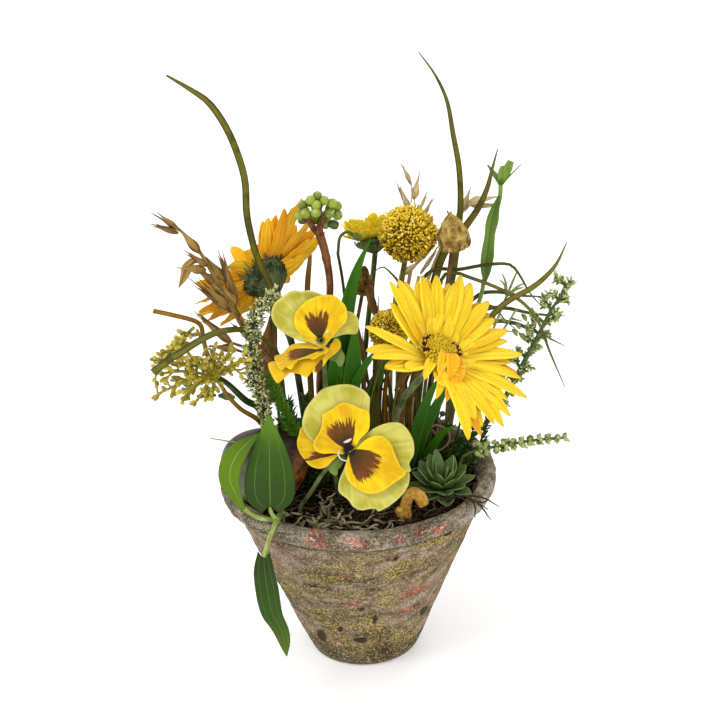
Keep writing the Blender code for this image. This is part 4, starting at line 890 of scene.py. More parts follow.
b_lower = [(-0.9, -5.2), (-2.3, -8.9), (-1.4, -13.6), (0.9, -16.9), (3.8, -19.2), (8, -21.1), (12.2, -21.1), (16, -19.7), (20.2, -16.9),
           (26.7, -12.2), (24, -8), (21.8, -2.3), (20.6, 1.4), (18.8, 4.2), (16.4, 6.1), (12.2, 6.3), (7.5, 4.2), (3.8, 0.9), (0.5, -1)]
piece("pansy_b_gold_petal", cut_petal(b_left, 0.4, (-13, 1), 0.003, 0.9, 0.4, 111).moved(pansy_b),
      petal_print("gold_silk_b", *GOLDEN, ((188, 3.0, 20.0),)), ["pansy_b_left_petal"], 0.4)
piece("pansy_b_pale_petals", together([cut_petal(b_pale_upper, 2.0, (-4, 14), 0.004, 1.4, 0.7, 112), cut_petal(b_pale_lower, 1.4, (11, -15), 0.004, 1.3, 1.0, 114),
                                       cut_petal(b_pale_right, 2.2, (16, 1), 0.004, 1.2, 0.7, 113)]).moved(pansy_b),
      petal_print("pale_silk_b", *PALE, seed=3.0), ["pansy_b_back_petals"], 0.4)
piece("pansy_b_bright_petals", together([cut_petal(b_upper, 3.7, (-2, 10), 0.006, 0.8, 0.3, 115), cut_petal(b_lower, 4.2, (9, -7), 0.006, 0.8, 0.8, 116)])
      .moved(pansy_b), petal_print("printed_silk_b", *LEMON, ((108, 44, 14.5), (-44, 46, 16.0)), 3.0, 7.0), ["pansy_b_front_petals"], 0.4)


def flower_stem(points, head, size, calyx, height, bracts, reach=1.0, below=0.6, count=30):
    """A planted stem that widens into a calyx below its head, with pointed bracts pressed to it."""
    neck = head @ Vector((0, 0, -height - below))
    route = planted([*points, tuple(neck)], count)
    cup = [head @ Vector((0, 0, -below - height * (1 - share))) for share in np.linspace(0, 1, 9)]
    parts = [tube(route, size, 10, 0.4),
             tube(cup, eased((size, size * 1.4, calyx * 0.72, calyx * 0.98, calyx), 9), 20, 0.2)]
    chance = np.random.default_rng(int(size * 100 + calyx * 10))
    for layer in range(3):
        for i in range(bracts):
            angle = 2 * pi * (i + 0.37 * layer) / bracts + chance.normal(0, 0.05)
            out = np.array((cos(angle), sin(angle), 0))
            far = calyx * (0.62 + 0.30 * layer) * reach * chance.uniform(0.92, 1.1)
            run = [out * size * 1.2 + (0, 0, -height - below), out * calyx * 0.62 + (0, 0, -height * 0.55 - below),
                   out * min(far, calyx * 1.06) + (0, 0, -height * (0.36 - 0.16 * layer) - below),
                   out * far + (0, 0, -height * (0.22 - 0.20 * layer) - below + 0.6)]
            wide = 2 * pi * calyx / bracts * 0.9
            parts.append(ribbon(run, (wide * 0.5, wide, wide * 0.9, wide * 0.5, 0.1), out + (0, 0, -0.6), 7, 5, fold=0.25,
                                tone=chance.uniform(0.2, 1)).moved(head))
    return together(parts)


flocked = stem_skin("flocked_stem", paint(58, 72, 34), paint(128, 138, 88), 26, 0.85, 0.3)
piece("pansy_a_wire", flower_stem([(-12, -8), (-14, -12, 130), (-15, -22, 165), (-15, -31, 188)], pansy_a, 1.2, 2.6, 5.0, 6, 1.4),
      flocked, ["pansy_a_stem"], 0.25)
piece("pansy_b_wire", flower_stem([(-31, -36), (-26, -42, 115), (-16, -46, 132)], pansy_b, 1.0, 2.6, 5.0, 6, 1.4),
      flocked, ["pansy_b_stem"], 0.25)
bracts = together([
    ribbon([(-2.0, -2.5, 0), (-5.5, -5, 0.6), (-7.8, -8.4, 1.0), (-6.6, -12, 0.6)], (1.5, 5.4, 6.4, 5.0, 1.5), (0, 0, 1), 16, 9, fold=-0.3).moved(pansy_b),
    ribbon([(0, -2.5, -1), (5, -6.5, -1), (9.0, -9.5, 0), (9.5, -14, 1)], (1.5, 6.4, 7.4, 6.0, 1.5), (0, 0, 1), 16, 9, fold=-0.2).moved(pansy_a)])
piece("pansy_bracts", bracts, leaf_finish("bract", paint(66, 86, 30), paint(98, 116, 48), paint(118, 134, 66), paint(150, 160, 96), (0.5,)),
      (), 0.3)
eye_wire = Finish("eye_wire", Roughness=0.5)
wire_grain = eye_wire.noise(900, 3)
pale_wire = eye_wire.done(eye_wire.mix(wire_grain.rise(0.3, 0.7), paint(190, 182, 160), paint(236, 230, 214)), wire_grain, 0.05)
eye_parts = [
    tube(smooth([(-4.3, 0.4, 4.5), (-5.2, -1.2, 5.4), (-4.8, -3.0, 5.8), (-3.4, -4.5, 5.8), (-1.1, -5.1, 5.4)], 20), 0.35, 7).moved(pansy_b),
    tube(smooth([(-2.3, 3.8, 5.4), (-0.6, 4.4, 6.0), (1.4, 5.4, 5.6)], 9), eased((0.4, 0.75, 0.4), 9), 8).moved(pansy_b),
    tube(smooth([(3.0, 3.4, 4.4), (3.6, 3.9, 4.9), (4.2, 4.2, 4.4)], 7), eased((0.3, 0.7, 0.3), 7), 8).moved(pansy_a),
    tube(smooth([(-8.6, -1.2, 4.0), (-5, -0.6, 4.6), (-2.4, -2.2, 4.8), (0.4, -3.8, 4.6)], 14), 0.16, 6).moved(pansy_a),
    tube(smooth([(-7.8, 0.4, 4.0), (-4.4, 0.2, 4.6), (-1.6, -1.6, 4.8)], 12), 0.16, 6).moved(pansy_a)]
piece("eye_wires", together(eye_parts), pale_wire)
loop = [(0.2 + 1.2 * cos(a), -0.4 + 1.2 * sin(a), 5.0) for a in np.linspace(0, 6.0, 18)]
piece("eye_loop", tube(loop, 0.24, 7).moved(pansy_a), flocked)


# The gerberas are silk too. Each has two rows of long rays, cut with notched tips and pressed with two grooves,
# and short ones round a granular disc. The yellow one faces the viewer, the orange one faces up and away.
def notched(ray, teeth, seed):
    """Cuts the tip of a ray of 11 columns into teeth."""
    rows = ray.points.reshape(-1, 11, 3)
    s = np.linspace(-1, 1, 11)
    t = np.linspace(0, 1, len(rows))[:, None]
    cut = teeth * (1 - np.abs(np.cos(1.5 * pi * s + 0.3 * np.sin(seed)))) + teeth * 1.3 * np.abs(s + 0.25 * np.sin(seed * 2.3)) ** 1.5
    along = np.gradient(rows, axis=0)
    along /= np.linalg.norm(along, axis=2)[..., None]
    rows -= along * (cut * t ** 7)[..., None]
    return ray


def head_ray(frame, direction, reach, width, lift, start=6.0, depth=0.0, tone=0.5, bend=0.0, seed=0, crease=0.11, rows=18,
             tip=0.14, hub=(0, 0)):
    """One ray of a head. lift(angle, reach) is its rise, depth sets it behind the others, bend curls it sideways.

    hub is where the rays meet, if that is not at the middle of the head.
    """
    run = []
    for share in np.linspace(0, 1, 6):
        r = start + (reach - start) * share
        angle = radians(direction + bend * share ** 2)
        run.append((r * cos(angle) + hub[0] * (1 - share), r * sin(angle) + hub[1] * (1 - share), lift(angle, r) - depth * share ** 0.5))
    wide = (width * 0.50, width * 0.74, width * 0.94, width, width * 0.98, width * (0.66 + 0.4 * tip), width * tip)
    return notched(ribbon(run, wide, (0, 0, 1), rows, 11, crease=crease, fold=0.14, tone=tone, seed=seed), 0.8, seed).moved(frame)


def ray_silk(name, foot, deep, light, gold):
    silk = Finish(name, Roughness=0.65, Specular_IOR_Level=0.2, Sheen_Weight=0.12)
    across, along = silk.place()
    tone = silk.tone()
    streak = silk.noise(1, 3, vector=silk.vector(across * 9, along * 1.2, tone * 40))
    weave = silk.noise(1300, 2)
    colour = silk.coats(
        silk.mix((streak * 0.8 + weave * 0.2).rise(0.36, 0.62), deep, light),
        (tone.rise(0.55, 1.0) * 0.85, gold), (along.fall(0.0, 0.30) * 0.7, foot),
        (across.near(0.5, 0.5).fall(0.0, 0.22) * 0.35, light))
    return silk.done(colour, streak + weave * 0.2, 0.35, 0.6)


def yellow_lift(angle, reach):
    return (0.22 + 0.22 * sin(angle) - 0.20 * cos(angle)) * max(reach - 8, 0) - 0.006 * max(reach - 20, 0) ** 2


yellow_head = facing((44, -45, 196), (0.36, -0.30, 0.88))
ray_chance = np.random.default_rng(71)
yellow_rays = ((140, 41), (130, 40), (114, 39, 2), (108, 41), (95, 43), (86, 43, 2), (83, 43), (76, 51), (68, 50), (60, 45, 3), (55, 48),
               (44, 42), (34, 46), (27, 42), (15, 49), (13, 41, 2), (-2, 46), (-15, 51), (-25, 42), (-33, 48), (-41, 50), (-50, 47),
               (-63, 43), (-63, 49, 3), (-71, 53), (-69, 38), (-75, 30), (-89, 26), (-133, 32), (-137, 41, 2), (-151, 47), (-156, 47, 2),
               (-166, 32), (-167, 45), (122, 40, 3), (101, 42, 3), (50, 46, 4), (21, 44, 4), (6, 45, 3), (-9, 45, 3), (-57, 45, 3),
               (-144, 40, 4), (150, 34, 3))
rays = []
for i, (direction, reach, *behind) in enumerate(yellow_rays):
    depth = behind[0] if behind else 0.0
    rays.append(head_ray(yellow_head, direction, reach, ray_chance.uniform(7.4, 9.4), yellow_lift, 6.0, depth,
                         min(ray_chance.uniform(0, 0.75) + depth * 0.12, 1), ray_chance.normal(0, 2.5), i, hub=(-2, -5.5)))
yellow_silk = ray_silk("yellow_rays", paint(222, 160, 10), paint(232, 184, 8), paint(250, 222, 44), paint(228, 158, 10))
piece("yellow_long_rays", together(rays), yellow_silk, ["yellow_gerbera_outer_petals"], 0.3)
yellow_heart = yellow_head @ Matrix.Translation((-2, -5.5, -0.6))
short_rays = []
for i in range(30):
    direction = -60 + 190 * i / 29 + ray_chance.normal(0, 4)
    reach = ray_chance.uniform(13.5, 19)
    slope = ray_chance.uniform(0.35, 0.95)
    short_rays.append(head_ray(yellow_heart, direction, reach, ray_chance.uniform(2.6, 4.0),
                               lambda a, r, slope=slope: 2.0 + yellow_lift(a, r) + slope * max(r - 8, 0), 7.5, 0, ray_chance.uniform(0, 0.4),
                               ray_chance.normal(0, 8), i, rows=12))
folded_rays = (([(-1, -9, 7.4), (-1.6, -12, 8.6), (-2, -16, 6.6), (-3, -20, 1)], 6.4, 0.85), ([(2, -9, 7.2), (2.4, -12, 8.8), (3, -16, 7.4), (3.4, -21, 1)], 7.4, 1.0),
               ([(5, -9, 6), (6.4, -12.5, 7), (8, -17, 4), (8.6, -21, -2)], 6.4, 0.85), ([(-4, -9, 5), (-6, -13, 5), (-8, -17, 2), (-9, -22, -3)], 6.0, 0.5),
               ([(4, -14, 5), (4.6, -18, 3), (5, -23, -3), (5, -27, -9)], 6.4, 0.9), ([(0, -14, 5), (0, -18, 3), (0, -23, -3), (-0.6, -27, -9)], 5.4, 0.7))
for run, width, tone in folded_rays:
    short_rays.append(notched(ribbon(run, (width * 0.5, width * 0.9, width, width * 0.8, width * 0.5, 0.4), (0, -0.3, 1), 18, 11, fold=0.25, crease=0.16, tone=tone),
                              1.2, width).moved(yellow_head))
piece("yellow_short_rays", together(short_rays), ray_silk("short_rays", paint(206, 160, 10), paint(230, 188, 18), paint(250, 222, 56), paint(244, 166, 12)),
      ["yellow_gerbera_inner_petals"], 0.3)


def florets(frame, count, radius, dome, base, size, dark, seed):
    """The florets of a disc, each a tiny open tube. dark(angle, reach) is the chance that one is dark."""
    chance = np.random.default_rng(seed)
    parts = []
    for i in range(count):
        r = radius * ((i + 0.5) / count) ** 0.5
        angle = i * 2.39996 + chance.normal(0, 0.04)
        spot = np.array((r * cos(angle), r * sin(angle), base + dome * (1 - (r / radius) ** 2.4)))
        lean = np.array((cos(angle), sin(angle), 0)) * (r / radius) * 0.7 + (0, 0, 1) + chance.normal(0, 0.12, 3)
        tall = chance.uniform(0.9, 1.7) * (0.7 + 0.6 * r / radius)
        wide = size * chance.uniform(0.8, 1.2)
        tone = 1.0 if chance.uniform() < dark(angle, r) else chance.uniform(0, 0.7)
        parts.append(tube([spot - lean * 0.4, spot + lean * tall * 0.5, spot + lean * tall, spot + lean * tall * 0.8],
                          (wide * 0.7, wide * 0.8, wide, wide * 0.35), 6, tone))
    return together(parts).moved(frame)


def floret_finish(name, low, high, dark):
    grain = Finish(name, Roughness=0.8, Specular_IOR_Level=0.2)
    fine = grain.noise(1400, 3)
    tone = grain.tone()
    colour = grain.mix((tone * 0.9 + fine * 0.4).rise(0.15, 0.95), low, high)
    return grain.done(grain.mix(tone.rise(0.86, 0.94), colour, dark), fine, 0.1)


def yellow_disc_dark(angle, reach):
    side = abs(sin(angle + 0.25)) < 0.72
    return 0.85 if 7.4 < reach < 9.6 and side else 0.015


disc_florets = floret_finish("disc_florets", paint(206, 168, 22), paint(246, 218, 64), paint(84, 34, 40))
piece("yellow_disc", florets(yellow_heart, 420, 10.2, 3.4, 4.8, 0.48, yellow_disc_dark, 75), disc_florets, ["yellow_gerbera_disc"])
piece("yellow_gerbera_wire", flower_stem([(19, 3), (20, -2, 120), (21, -12, 142), (25, -25, 160), (32, -35, 174)], yellow_head, 1.75, 8.0, 9.0, 16, 1.2, 0.2),
      flocked, ["yellow_gerbera_stem"], 0.25)


orange_head = facing((-45, 11, 218), (-0.5, 0.78, 0.38))
orange_tips = (   # where the rays end
    (-23, 15, 259), (-28, 21, 252), (-32, 9, 256), (-37, 16, 250), (-41, 7, 252), (-44, 16, 247), (-19, 21, 244), (-22, 27, 238), (-12, 27, 235), (-16, 28, 237),
    (-20, 20, 234), (-22, 18, 227), (-28, 13, 226), (-48, 30, 228), (-51, 22, 231), (-54, 27, 226), (-57, 16, 230), (-62, 17, 233), (-62, 16, 224), (-60, 13, 221),
    (-66, 21, 214), (-71, 7, 219), (-81, 1, 219), (-76, 1, 214), (-82, -3, 209), (-80, -2, 204), (-82, 5, 199), (-76, 2, 197), (-73, 10, 195), (-70, 9, 191),
    (-65, 7, 195), (-59, 9, 197), (-53, 11, 197), (-34, 38, 232), (-41, 41, 226), (-27, 32, 238), (-58, 30, 220), (-30, 30, 230), (-47, 38, 216), (-63, 27, 206))
orange_rays = []
for i, tip in enumerate(orange_tips):
    tip = Vector(tip)
    width = ray_chance.uniform(8, 10)
    away = tip - orange_head.translation
    foot = orange_head.translation + away * 0.2
    lift = orange_head.col[2].to_3d() * -(1.0 + 1.5 * (i % 3))
    run = [tuple(foot), tuple(foot.lerp(tip, 0.35) + lift), tuple(foot.lerp(tip, 0.72) + lift * 0.6), tuple(tip)]
    face = orange_head.col[2].to_3d() + Vector(ray_chance.normal(0, 0.15, 3))
    wide = (width * 0.6, width * 0.9, width * 1.05, width, width * 0.85, width * 0.6, 1.0)
    orange_rays.append(notched(ribbon(run, wide, tuple(face), 15, 11, fold=0.18, crease=0.10, frill=0.3, tone=ray_chance.uniform(0, 1), seed=i), 0.8, i))
orange_silk = ray_silk("orange_rays", paint(214, 140, 6), paint(240, 168, 10), paint(255, 208, 48), paint(236, 150, 6))
piece("orange_long_rays", together(orange_rays), orange_silk, ["orange_gerbera_outer_petals"], 0.3)
curled = []
for i in range(26):
    slope = ray_chance.uniform(0.3, 1.3)
    curled.append(head_ray(orange_head, i * 13.8, ray_chance.uniform(17, 25), ray_chance.uniform(6, 8.6), lambda a, r, k=slope: k * max(r - 7, 0) * 0.5,
                           6.0, 0, ray_chance.uniform(0, 1), ray_chance.normal(0, 12), i, rows=14))
piece("orange_curled_rays", together(curled), orange_silk, ["orange_gerbera_inner_petals"], 0.3)
piece("orange_disc", florets(orange_head, 260, 9.4, 3.0, 5.6, 0.55, lambda angle, reach: 0.05, 77),
      floret_finish("ochre_florets", paint(150, 104, 20), paint(214, 160, 50), paint(84, 50, 24)), ["orange_gerbera_disc"])
piece("orange_gerbera_wire", flower_stem([(-28, 37), (-30, 32, 140), (-33, 20, 175), (-36, -2, 196)], orange_head, 1.8, 12.4, 13.0, 30, 1.05, 0.3),
      stem_skin("dark_flocked", paint(34, 46, 22), paint(106, 118, 78), 34, 0.85, 0.3), ["orange_gerbera_stem"], 0.25)


# The daisy is a small silk flower on a thin stem, seen from its side: two rows of ridged rays over a round calyx.
# A spent bud hangs from a thinner stem beside it.
daisy_head = facing((13, 42, 223.4), (-0.15, 0.45, 0.88))
daisy_rays = []
for i in range(44):
    steep = (0.85, 1.15, 1.5, 0.45)[i % 4] * ray_chance.uniform(0.9, 1.1)
    daisy_rays.append(head_ray(daisy_head, i * 8.2 + ray_chance.normal(0, 2), ray_chance.uniform(14.4, 16.2) - 3.0 * (i % 4 == 2), ray_chance.uniform(5.6, 7.0),
                               lambda a, r, k=steep: k * max(r - 4.5, 0), 3.6, 0, ray_chance.uniform(0, 1), 0, i, 0.14, 12, 0.5))
piece("daisy_rays", together(daisy_rays), ray_silk("daisy_silk", paint(196, 166, 14), paint(236, 202, 16), paint(255, 236, 56), paint(224, 184, 14)),
      ["daisy_flower"], 0.3)
piece("daisy_disc", florets(daisy_head, 90, 5.0, 2.0, 1.6, 0.5, lambda angle, reach: 0.05, 78), disc_florets, ["daisy_flower"])
spent_run = planted([(-2, 44), (-2, 43, 160), (-4, 38, 200), (-6, 30, 221)], 22)
spent_run = np.concatenate([spent_run, smooth([spent_run[-1], (-4.5, 28, 231), (-0.5, 27, 234.5), (2.6, 27, 232.5)], 12)[1:]])
spent = [tube(spent_run, 0.75, 7, 0.5), tube([(2.4, 27, 233), (4.2, 27, 232), (6.2, 26.6, 230.4)], (0.9, 1.9, 1.5), 9, 0.9)]
piece("daisy_wire", together([flower_stem([(4, 47), (6, 46, 150), (12, 41, 200)], daisy_head, 1.4, 9.4, 6.2, 26, 0.86), *spent]),
      stem_skin("smooth_stem", paint(40, 54, 20), paint(104, 120, 58), 14, 0.6, 0.2), ["daisy_stem"], 0.2)


# The two billy buttons are real, dried: a ball of hundreds of tiny tubular florets packed round a brown core, in
# knots with dark gaps between them, on a stiff straight stem. Their gold is lighter on top, with painted light and
# painted highlights, and olive-brown below and in the gaps, which is painted shade.
def florets_on_ball(centre, radius, count, size, seed, parts):
    chance = np.random.default_rng(seed)
    steps = np.arange(count) + 0.5
    up = 1 - 2 * steps / count
    turn = steps * 2.39996
    ways = np.stack([np.cos(turn) * np.sqrt(1 - up ** 2), np.sin(turn) * np.sqrt(1 - up ** 2), up], axis=1)
    knots = waves(ways * radius, radius * 0.55, seed + 1)
    for way, knot in zip(ways, knots):
        if abs(knot) < 0.07:
            continue
        lean = way + chance.normal(0, 0.20, 3)
        far = radius * (0.955 + 0.045 * min(abs(knot) * 2.5, 1) + chance.normal(0, 0.016))
        foot = centre + way * radius * 0.84
        tip = foot + lean * (far - radius * 0.84)
        wide = size * chance.uniform(0.75, 1.25)
        # A floret's tone rises with its height on the ball: painted light on top and painted shade below, and the
        # highest tones take a painted highlight in the finish.
        tone = np.clip(0.44 + 0.30 * way[2] + chance.normal(0, 0.22), 0, 1)
        parts.append(tube([foot, foot + (tip - foot) * 0.6, tip, tip - lean * 0.35], (wide * 0.45, wide * 0.8, wide, wide * 0.3), 5, tone))
    core = revolved([(0.02, radius), *[(radius * sin(a), radius * cos(a)) for a in np.linspace(0.1, pi - 0.1, 16)], (0.02, -radius)], 24)
    # The core is given the lowest tone, so the gaps between the knots show painted shade.
    parts.append(sheet(core * 0.85 + centre, closed=True, tone=0.0))


# The third colour, which other discs use for dark florets, is here a painted highlight on the palest florets at the
# top.
button_finish = floret_finish("button_florets", paint(98, 70, 18), paint(250, 214, 58), paint(255, 236, 128))
olive_stem = stem_skin("olive_stem", paint(62, 58, 18), paint(134, 122, 50), 12)
for name, run, centre, radius, count in (
        ("large_billy_button", [(12, 27), (15, 25, 150), (25, 12, 200), (30.4, 2, 235)], (30.8, 2, 241.6), 14.6, 1500),
        ("small_billy_button", [(9, 14), (10, 10, 140), (14, 0, 170), (18.4, -6, 186)], (19.4, -6, 191.5), 10.6, 900)):
    ball_parts = []
    florets_on_ball(np.array(centre), radius, count, 0.62, int(radius * 10), ball_parts)
    piece(name + "_florets", together(ball_parts), button_finish, [name])
    route = planted(run, 26)
    piece(name + "_stalk", tube(route, eased((1.1, 1.15, 1.2, 1.5), len(route)), 10, 0.35), olive_stem, [name])


# The two pods are real dried seed heads on bent stalks: a tan one covered in scalloped dimples, with a frill of
# dry bracts under it and a tuft on top, and a brown one half hidden among the stems.
def dimpled_pod(frame, profile, rows, around, depth, tone):
    """A pod turned to a profile of (radius, height), with staggered rows of round dimples, and a tone that carries
    painted shade in them.
    """
    outline = smooth(profile, 60)
    grid = revolved(outline, 88)
    t = np.linspace(0, rows, 60)[:, None]
    u = np.linspace(0, around, 88, endpoint=False)[None, :]
    press = np.zeros((60, 88))
    shaded = np.zeros((60, 88))
    for row in range(rows):
        across = (u - 0.5 * (row % 2)) % 1.0 - 0.5
        away = np.hypot(across * 0.95, t - row - 0.5)
        press = press - depth * np.exp(-(away / 0.37) ** 4) + depth * 0.25 * np.exp(-((away - 0.50) / 0.10) ** 2)
        # shaded marks a crescent of painted shadow at the upper side of each dimple.
        shaded = np.maximum(shaded, np.exp(-(np.hypot(across * 0.9, t - row - 0.36) / 0.26) ** 4))
    push = np.minimum(press, depth * 0.5) * np.clip(outline[:, :1] / 3.0, 0, 1)
    grid[..., :2] *= 1 + (push / np.maximum(outline[:, :1], 0.5))[..., None]
    # The tone carries painted shade in the dimples and their crescents, and painted light on the ridges between them.
    shade = tone - 0.32 * shaded * np.clip(outline[:, :1] / 3.0, 0, 1) + 0.2 * push / depth
    return sheet(grid, closed=True, tone=np.clip(shade, 0, 1).ravel()).moved(frame)


def pod_skin(name, low, high, pit):
    skin = Finish(name, Roughness=0.85, Specular_IOR_Level=0.2)
    cloud = skin.noise(170, 5)
    fine = skin.noise(900, 4)
    colour = skin.mix((cloud * 0.6 + fine * 0.4).rise(0.38, 0.62), low, high)
    # Low tones take the pit colour as painted shade in the dimples; high tones take painted light on the ridges.
    painted_pit_shade_mask = skin.tone().fall(0.24, 0.50)
    return skin.done(skin.coats(colour, (painted_pit_shade_mask * 0.50, pit), (skin.tone().rise(0.68, 0.8) * 0.4, high)), cloud + fine * 0.6, 0.3, 0.7)


pod_frame = facing((54, -2, 242), (-0.12, -0.05, 1))
pod_parts = [dimpled_pod(pod_frame, [(0.1, 11.2), (1.8, 10.4), (3.8, 8.2), (6.0, 4.4), (7.6, 0.2), (8.2, -3.4), (7.4, -6.2), (4.6, -7.6), (0.4, -7.8)],
                         4, 8, 1.2, 0.62)]
pod_chance = np.random.default_rng(91)
for i in range(16):
    angle = 2 * pi * i / 16 + pod_chance.normal(0, 0.1)
    out = np.array((cos(angle), sin(angle), 0))
    low = pod_chance.uniform(-6.8, -4.6)
    pod_parts.append(ribbon([out * 4.6 + (0, 0, -7.4), out * 7.6 + (0, 0, -6.6), out * 8.4 + (0, 0, low), out * 8.3 + (0, 0, low + 1.8)],
                            (2.6, 3.4, 2.6, 0.4), out + (0, 0, 0.2), 9, 5, fold=0.2, tone=0.5).moved(pod_frame))
for x, y, z in ((-1.4, 0.2, 13.6), (0.2, -0.6, 12.8), (0.9, 0.5, 12.4)):
    pod_parts.append(tube(smooth([(0, 0, 10), (x * 0.5, y * 0.5, 11.6), (x, y, z)], 6), eased((0.9, 0.6, 0.15), 6), 6, 0.4).moved(pod_frame))
piece("dimpled_pod", together(pod_parts), pod_skin("tan_pod", paint(124, 98, 46), paint(186, 160, 88), paint(82, 58, 26)), ["cone_pod"], 0.1)
brown_pod = [dimpled_pod(facing((7, 16, 210), (0.1, 0, 1)), [(0.1, 9.4), (1.4, 8.2), (2.6, 5.6), (4.2, 2.0), (5.2, -1.8), (4.8, -5.2), (2.6, -7.2), (0.3, -7.6)],
                         5, 7, 0.7, 0.6)]
brown_pod += [tube(planted([(-6, 36), (-4, 34, 150), (3, 24, 185), (6.4, 17, 204)], 24), 1.0, 8, 0.4)]
piece("brown_pod", together(brown_pod), pod_skin("brown_pod", paint(70, 46, 14), paint(138, 106, 44), paint(48, 30, 12)), ["round_pod"])
pod_stalks = [tube(planted([(38, 17), (42, 12, 160), (50, 0, 210), (53.6, -1.8, 235)], 26), 1.2, 9, 0.3)]
piece("pod_stalk", together(pod_stalks), stem_skin("brown_stalk", paint(74, 46, 18), paint(132, 98, 46), 12), ["cone_pod"])


# The berries are plastic beads moulded on short green stalks. They are stuck on a real forked twig, red-brown
# with thin bark, a ring where a leaf once grew and fine cracks along it.
def bead(centre, radius, tone, way=(0, 0, 1), stretch=1.0):
    """A smooth bead with a small dimple at its end."""
    angles = np.linspace(0.06, pi - 0.06, 11)
    profile = [(radius * sin(a), radius * stretch * (cos(a) - 0.22 * np.exp(-(a / 0.35) ** 2))) for a in angles]
    return sheet(revolved(profile, 12), closed=True, tone=tone).moved(facing(centre, way, (0.9, 0.31, 0.12)))


def bead_finish(name, low, high, tip, rough=0.35):
    skin = Finish(name, Roughness=rough, Specular_IOR_Level=0.45)
    across, along = skin.place()
    cloud = skin.noise(260, 4)
    colour = skin.mix((skin.tone() * 0.7 + cloud * 0.3).rise(0.1, 0.8), low, high)
    return skin.done(skin.mix(along.fall(0.02, 0.16) * 0.7, colour, tip), cloud, 0.1, 0.4)


berry_heart = np.array((-14.8, -5.0, 260.4))
berry_offsets = ((-3.3, -5, 5.0), (0.1, -2, 7.4), (3.6, -5, 4.5), (-7.3, -2, 2.8), (-9.4, -4, -2.8), (-6.2, -7, -2.2), (-1, -8, -2.1), (-8.1, 0, -5.0),
                 (7.6, -4, 2.8), (9.9, -1, 1.7), (6.1, -6.5, -2.8), (10.0, -3, -3.4), (7.8, -1, -8.3), (3.4, 0, -8.0), (-0.6, -7, 2.2), (-4, 4, 5),
                 (2, 5, 5.5), (6, 4, 1), (-7, 5, 0), (0, 7, -1), (4, 6, -4), (-3, 3, -5), (0, 0, 4.5))
berry_chance = np.random.default_rng(95)
berries = []
fork = berry_heart + (-1.0, 1.0, -9.0)
for x, y, z in berry_offsets:
    spot = berry_heart + (x, y, z - 0.46 * y - 1.2)
    way = spot - (berry_heart + (0, 0, -6))
    # The lowest berries take darker tones: painted shade under the cluster.
    berries.append(bead(spot, berry_chance.uniform(2.3, 2.9), berry_chance.uniform(0.2, 0.9) - (0.5 if z < -4 else 0), way / np.linalg.norm(way), berry_chance.uniform(0.85, 1.2)))
    berries.append(tube(smooth([fork, (fork + spot) / 2 + (0, 0, 1.0), spot], 7), 0.55, 6, 0.4))
piece("green_berries", together(berries), bead_finish("green_berry", paint(66, 82, 14), paint(144, 160, 50), paint(188, 198, 106)), ["berry_cluster"])
twig_run = planted([(-17, 21), (-19, 15, 150), (-14, 6, 189), (-10.6, 2, 213), (-12, -1, 233), (-15.2, -3, 248)], 40)
twig_size = eased((1.9, 1.9, 1.9, 1.9, 1.9, 1.95, 2.4), len(twig_run)) + 0.35 * np.exp(-((twig_run[:, 2] - 231) / 1.6) ** 2)
twig = [tube(twig_run, twig_size, 14, 0.4),
        tube(smooth([(-14.8, -3.6, 246), (-18.0, -6.4, 251), (-20.6, -7.6, 258)], 10), eased((2.0, 1.7, 1.4), 10), 12, 0.3),
        tube(smooth([(-14.8, -3.6, 246), (-14.4, -6.4, 250), (-12.4, -7.6, 256)], 10), eased((2.0, 1.7, 1.3), 10), 12, 0.5)]
piece("berry_twig", together(twig), stem_skin("red_bark", paint(76, 42, 20), paint(140, 90, 54), 9, 0.8, 0.3), ["berry_stem"])


# The oats are real and dry. Each spikelet is two long boat-shaped husks, ribbed and striped in brown, that part
# at their tips, with a thin awn between them, on a thin straw.
def spikelet(tail, tip, width, chance):
    tail, tip = np.array(tail), np.array(tip)
    axis = tip - tail
    length = np.linalg.norm(axis)
    side = np.cross(axis / length, chance.normal(0, 1, 3))
    side /= np.linalg.norm(side)
    parts = []
    for sign in (-1, 1):
        gap = side * sign * length * chance.uniform(0.03, 0.10)
        end = tip + gap - axis * chance.uniform(0, 0.10)
        run = [tail, tail + axis * 0.35 + gap * 0.6 + side * sign * width * 0.18, tail + axis * 0.7 + gap * 0.9, end]
        parts.append(ribbon(run, (width * 0.3, width * 0.95, width, width * 0.62, width * 0.3, 0.15), side * sign, 12, 9, fold=-0.75, crease=0.06,
                            tone=chance.uniform(0, 1)))
    parts.append(tube(smooth([tail, tail + axis * 0.6, tip + axis * 0.10 + side * 0.4], 8), eased((0.55, 0.5, 0.12), 8), 5, 0.1))
    return parts


def husk_finish(name, low, high, stripe, striped=0.6):
    husk = Finish(name, Roughness=0.7, Specular_IOR_Level=0.3)
    across, along = husk.place()
    rib = husk.noise(1, 2, vector=husk.vector(across * 9, along * 0.8, husk.tone() * 30))
    cloud = husk.noise(240, 4)
    colour = husk.mix((rib * 0.5 + cloud * 0.3 + husk.tone() * 0.2).rise(0.30, 0.66), low, high)
    return husk.done(husk.mix(rib.rise(0.54, 0.62) * striped, colour, stripe), rib, 0.3, 0.7)


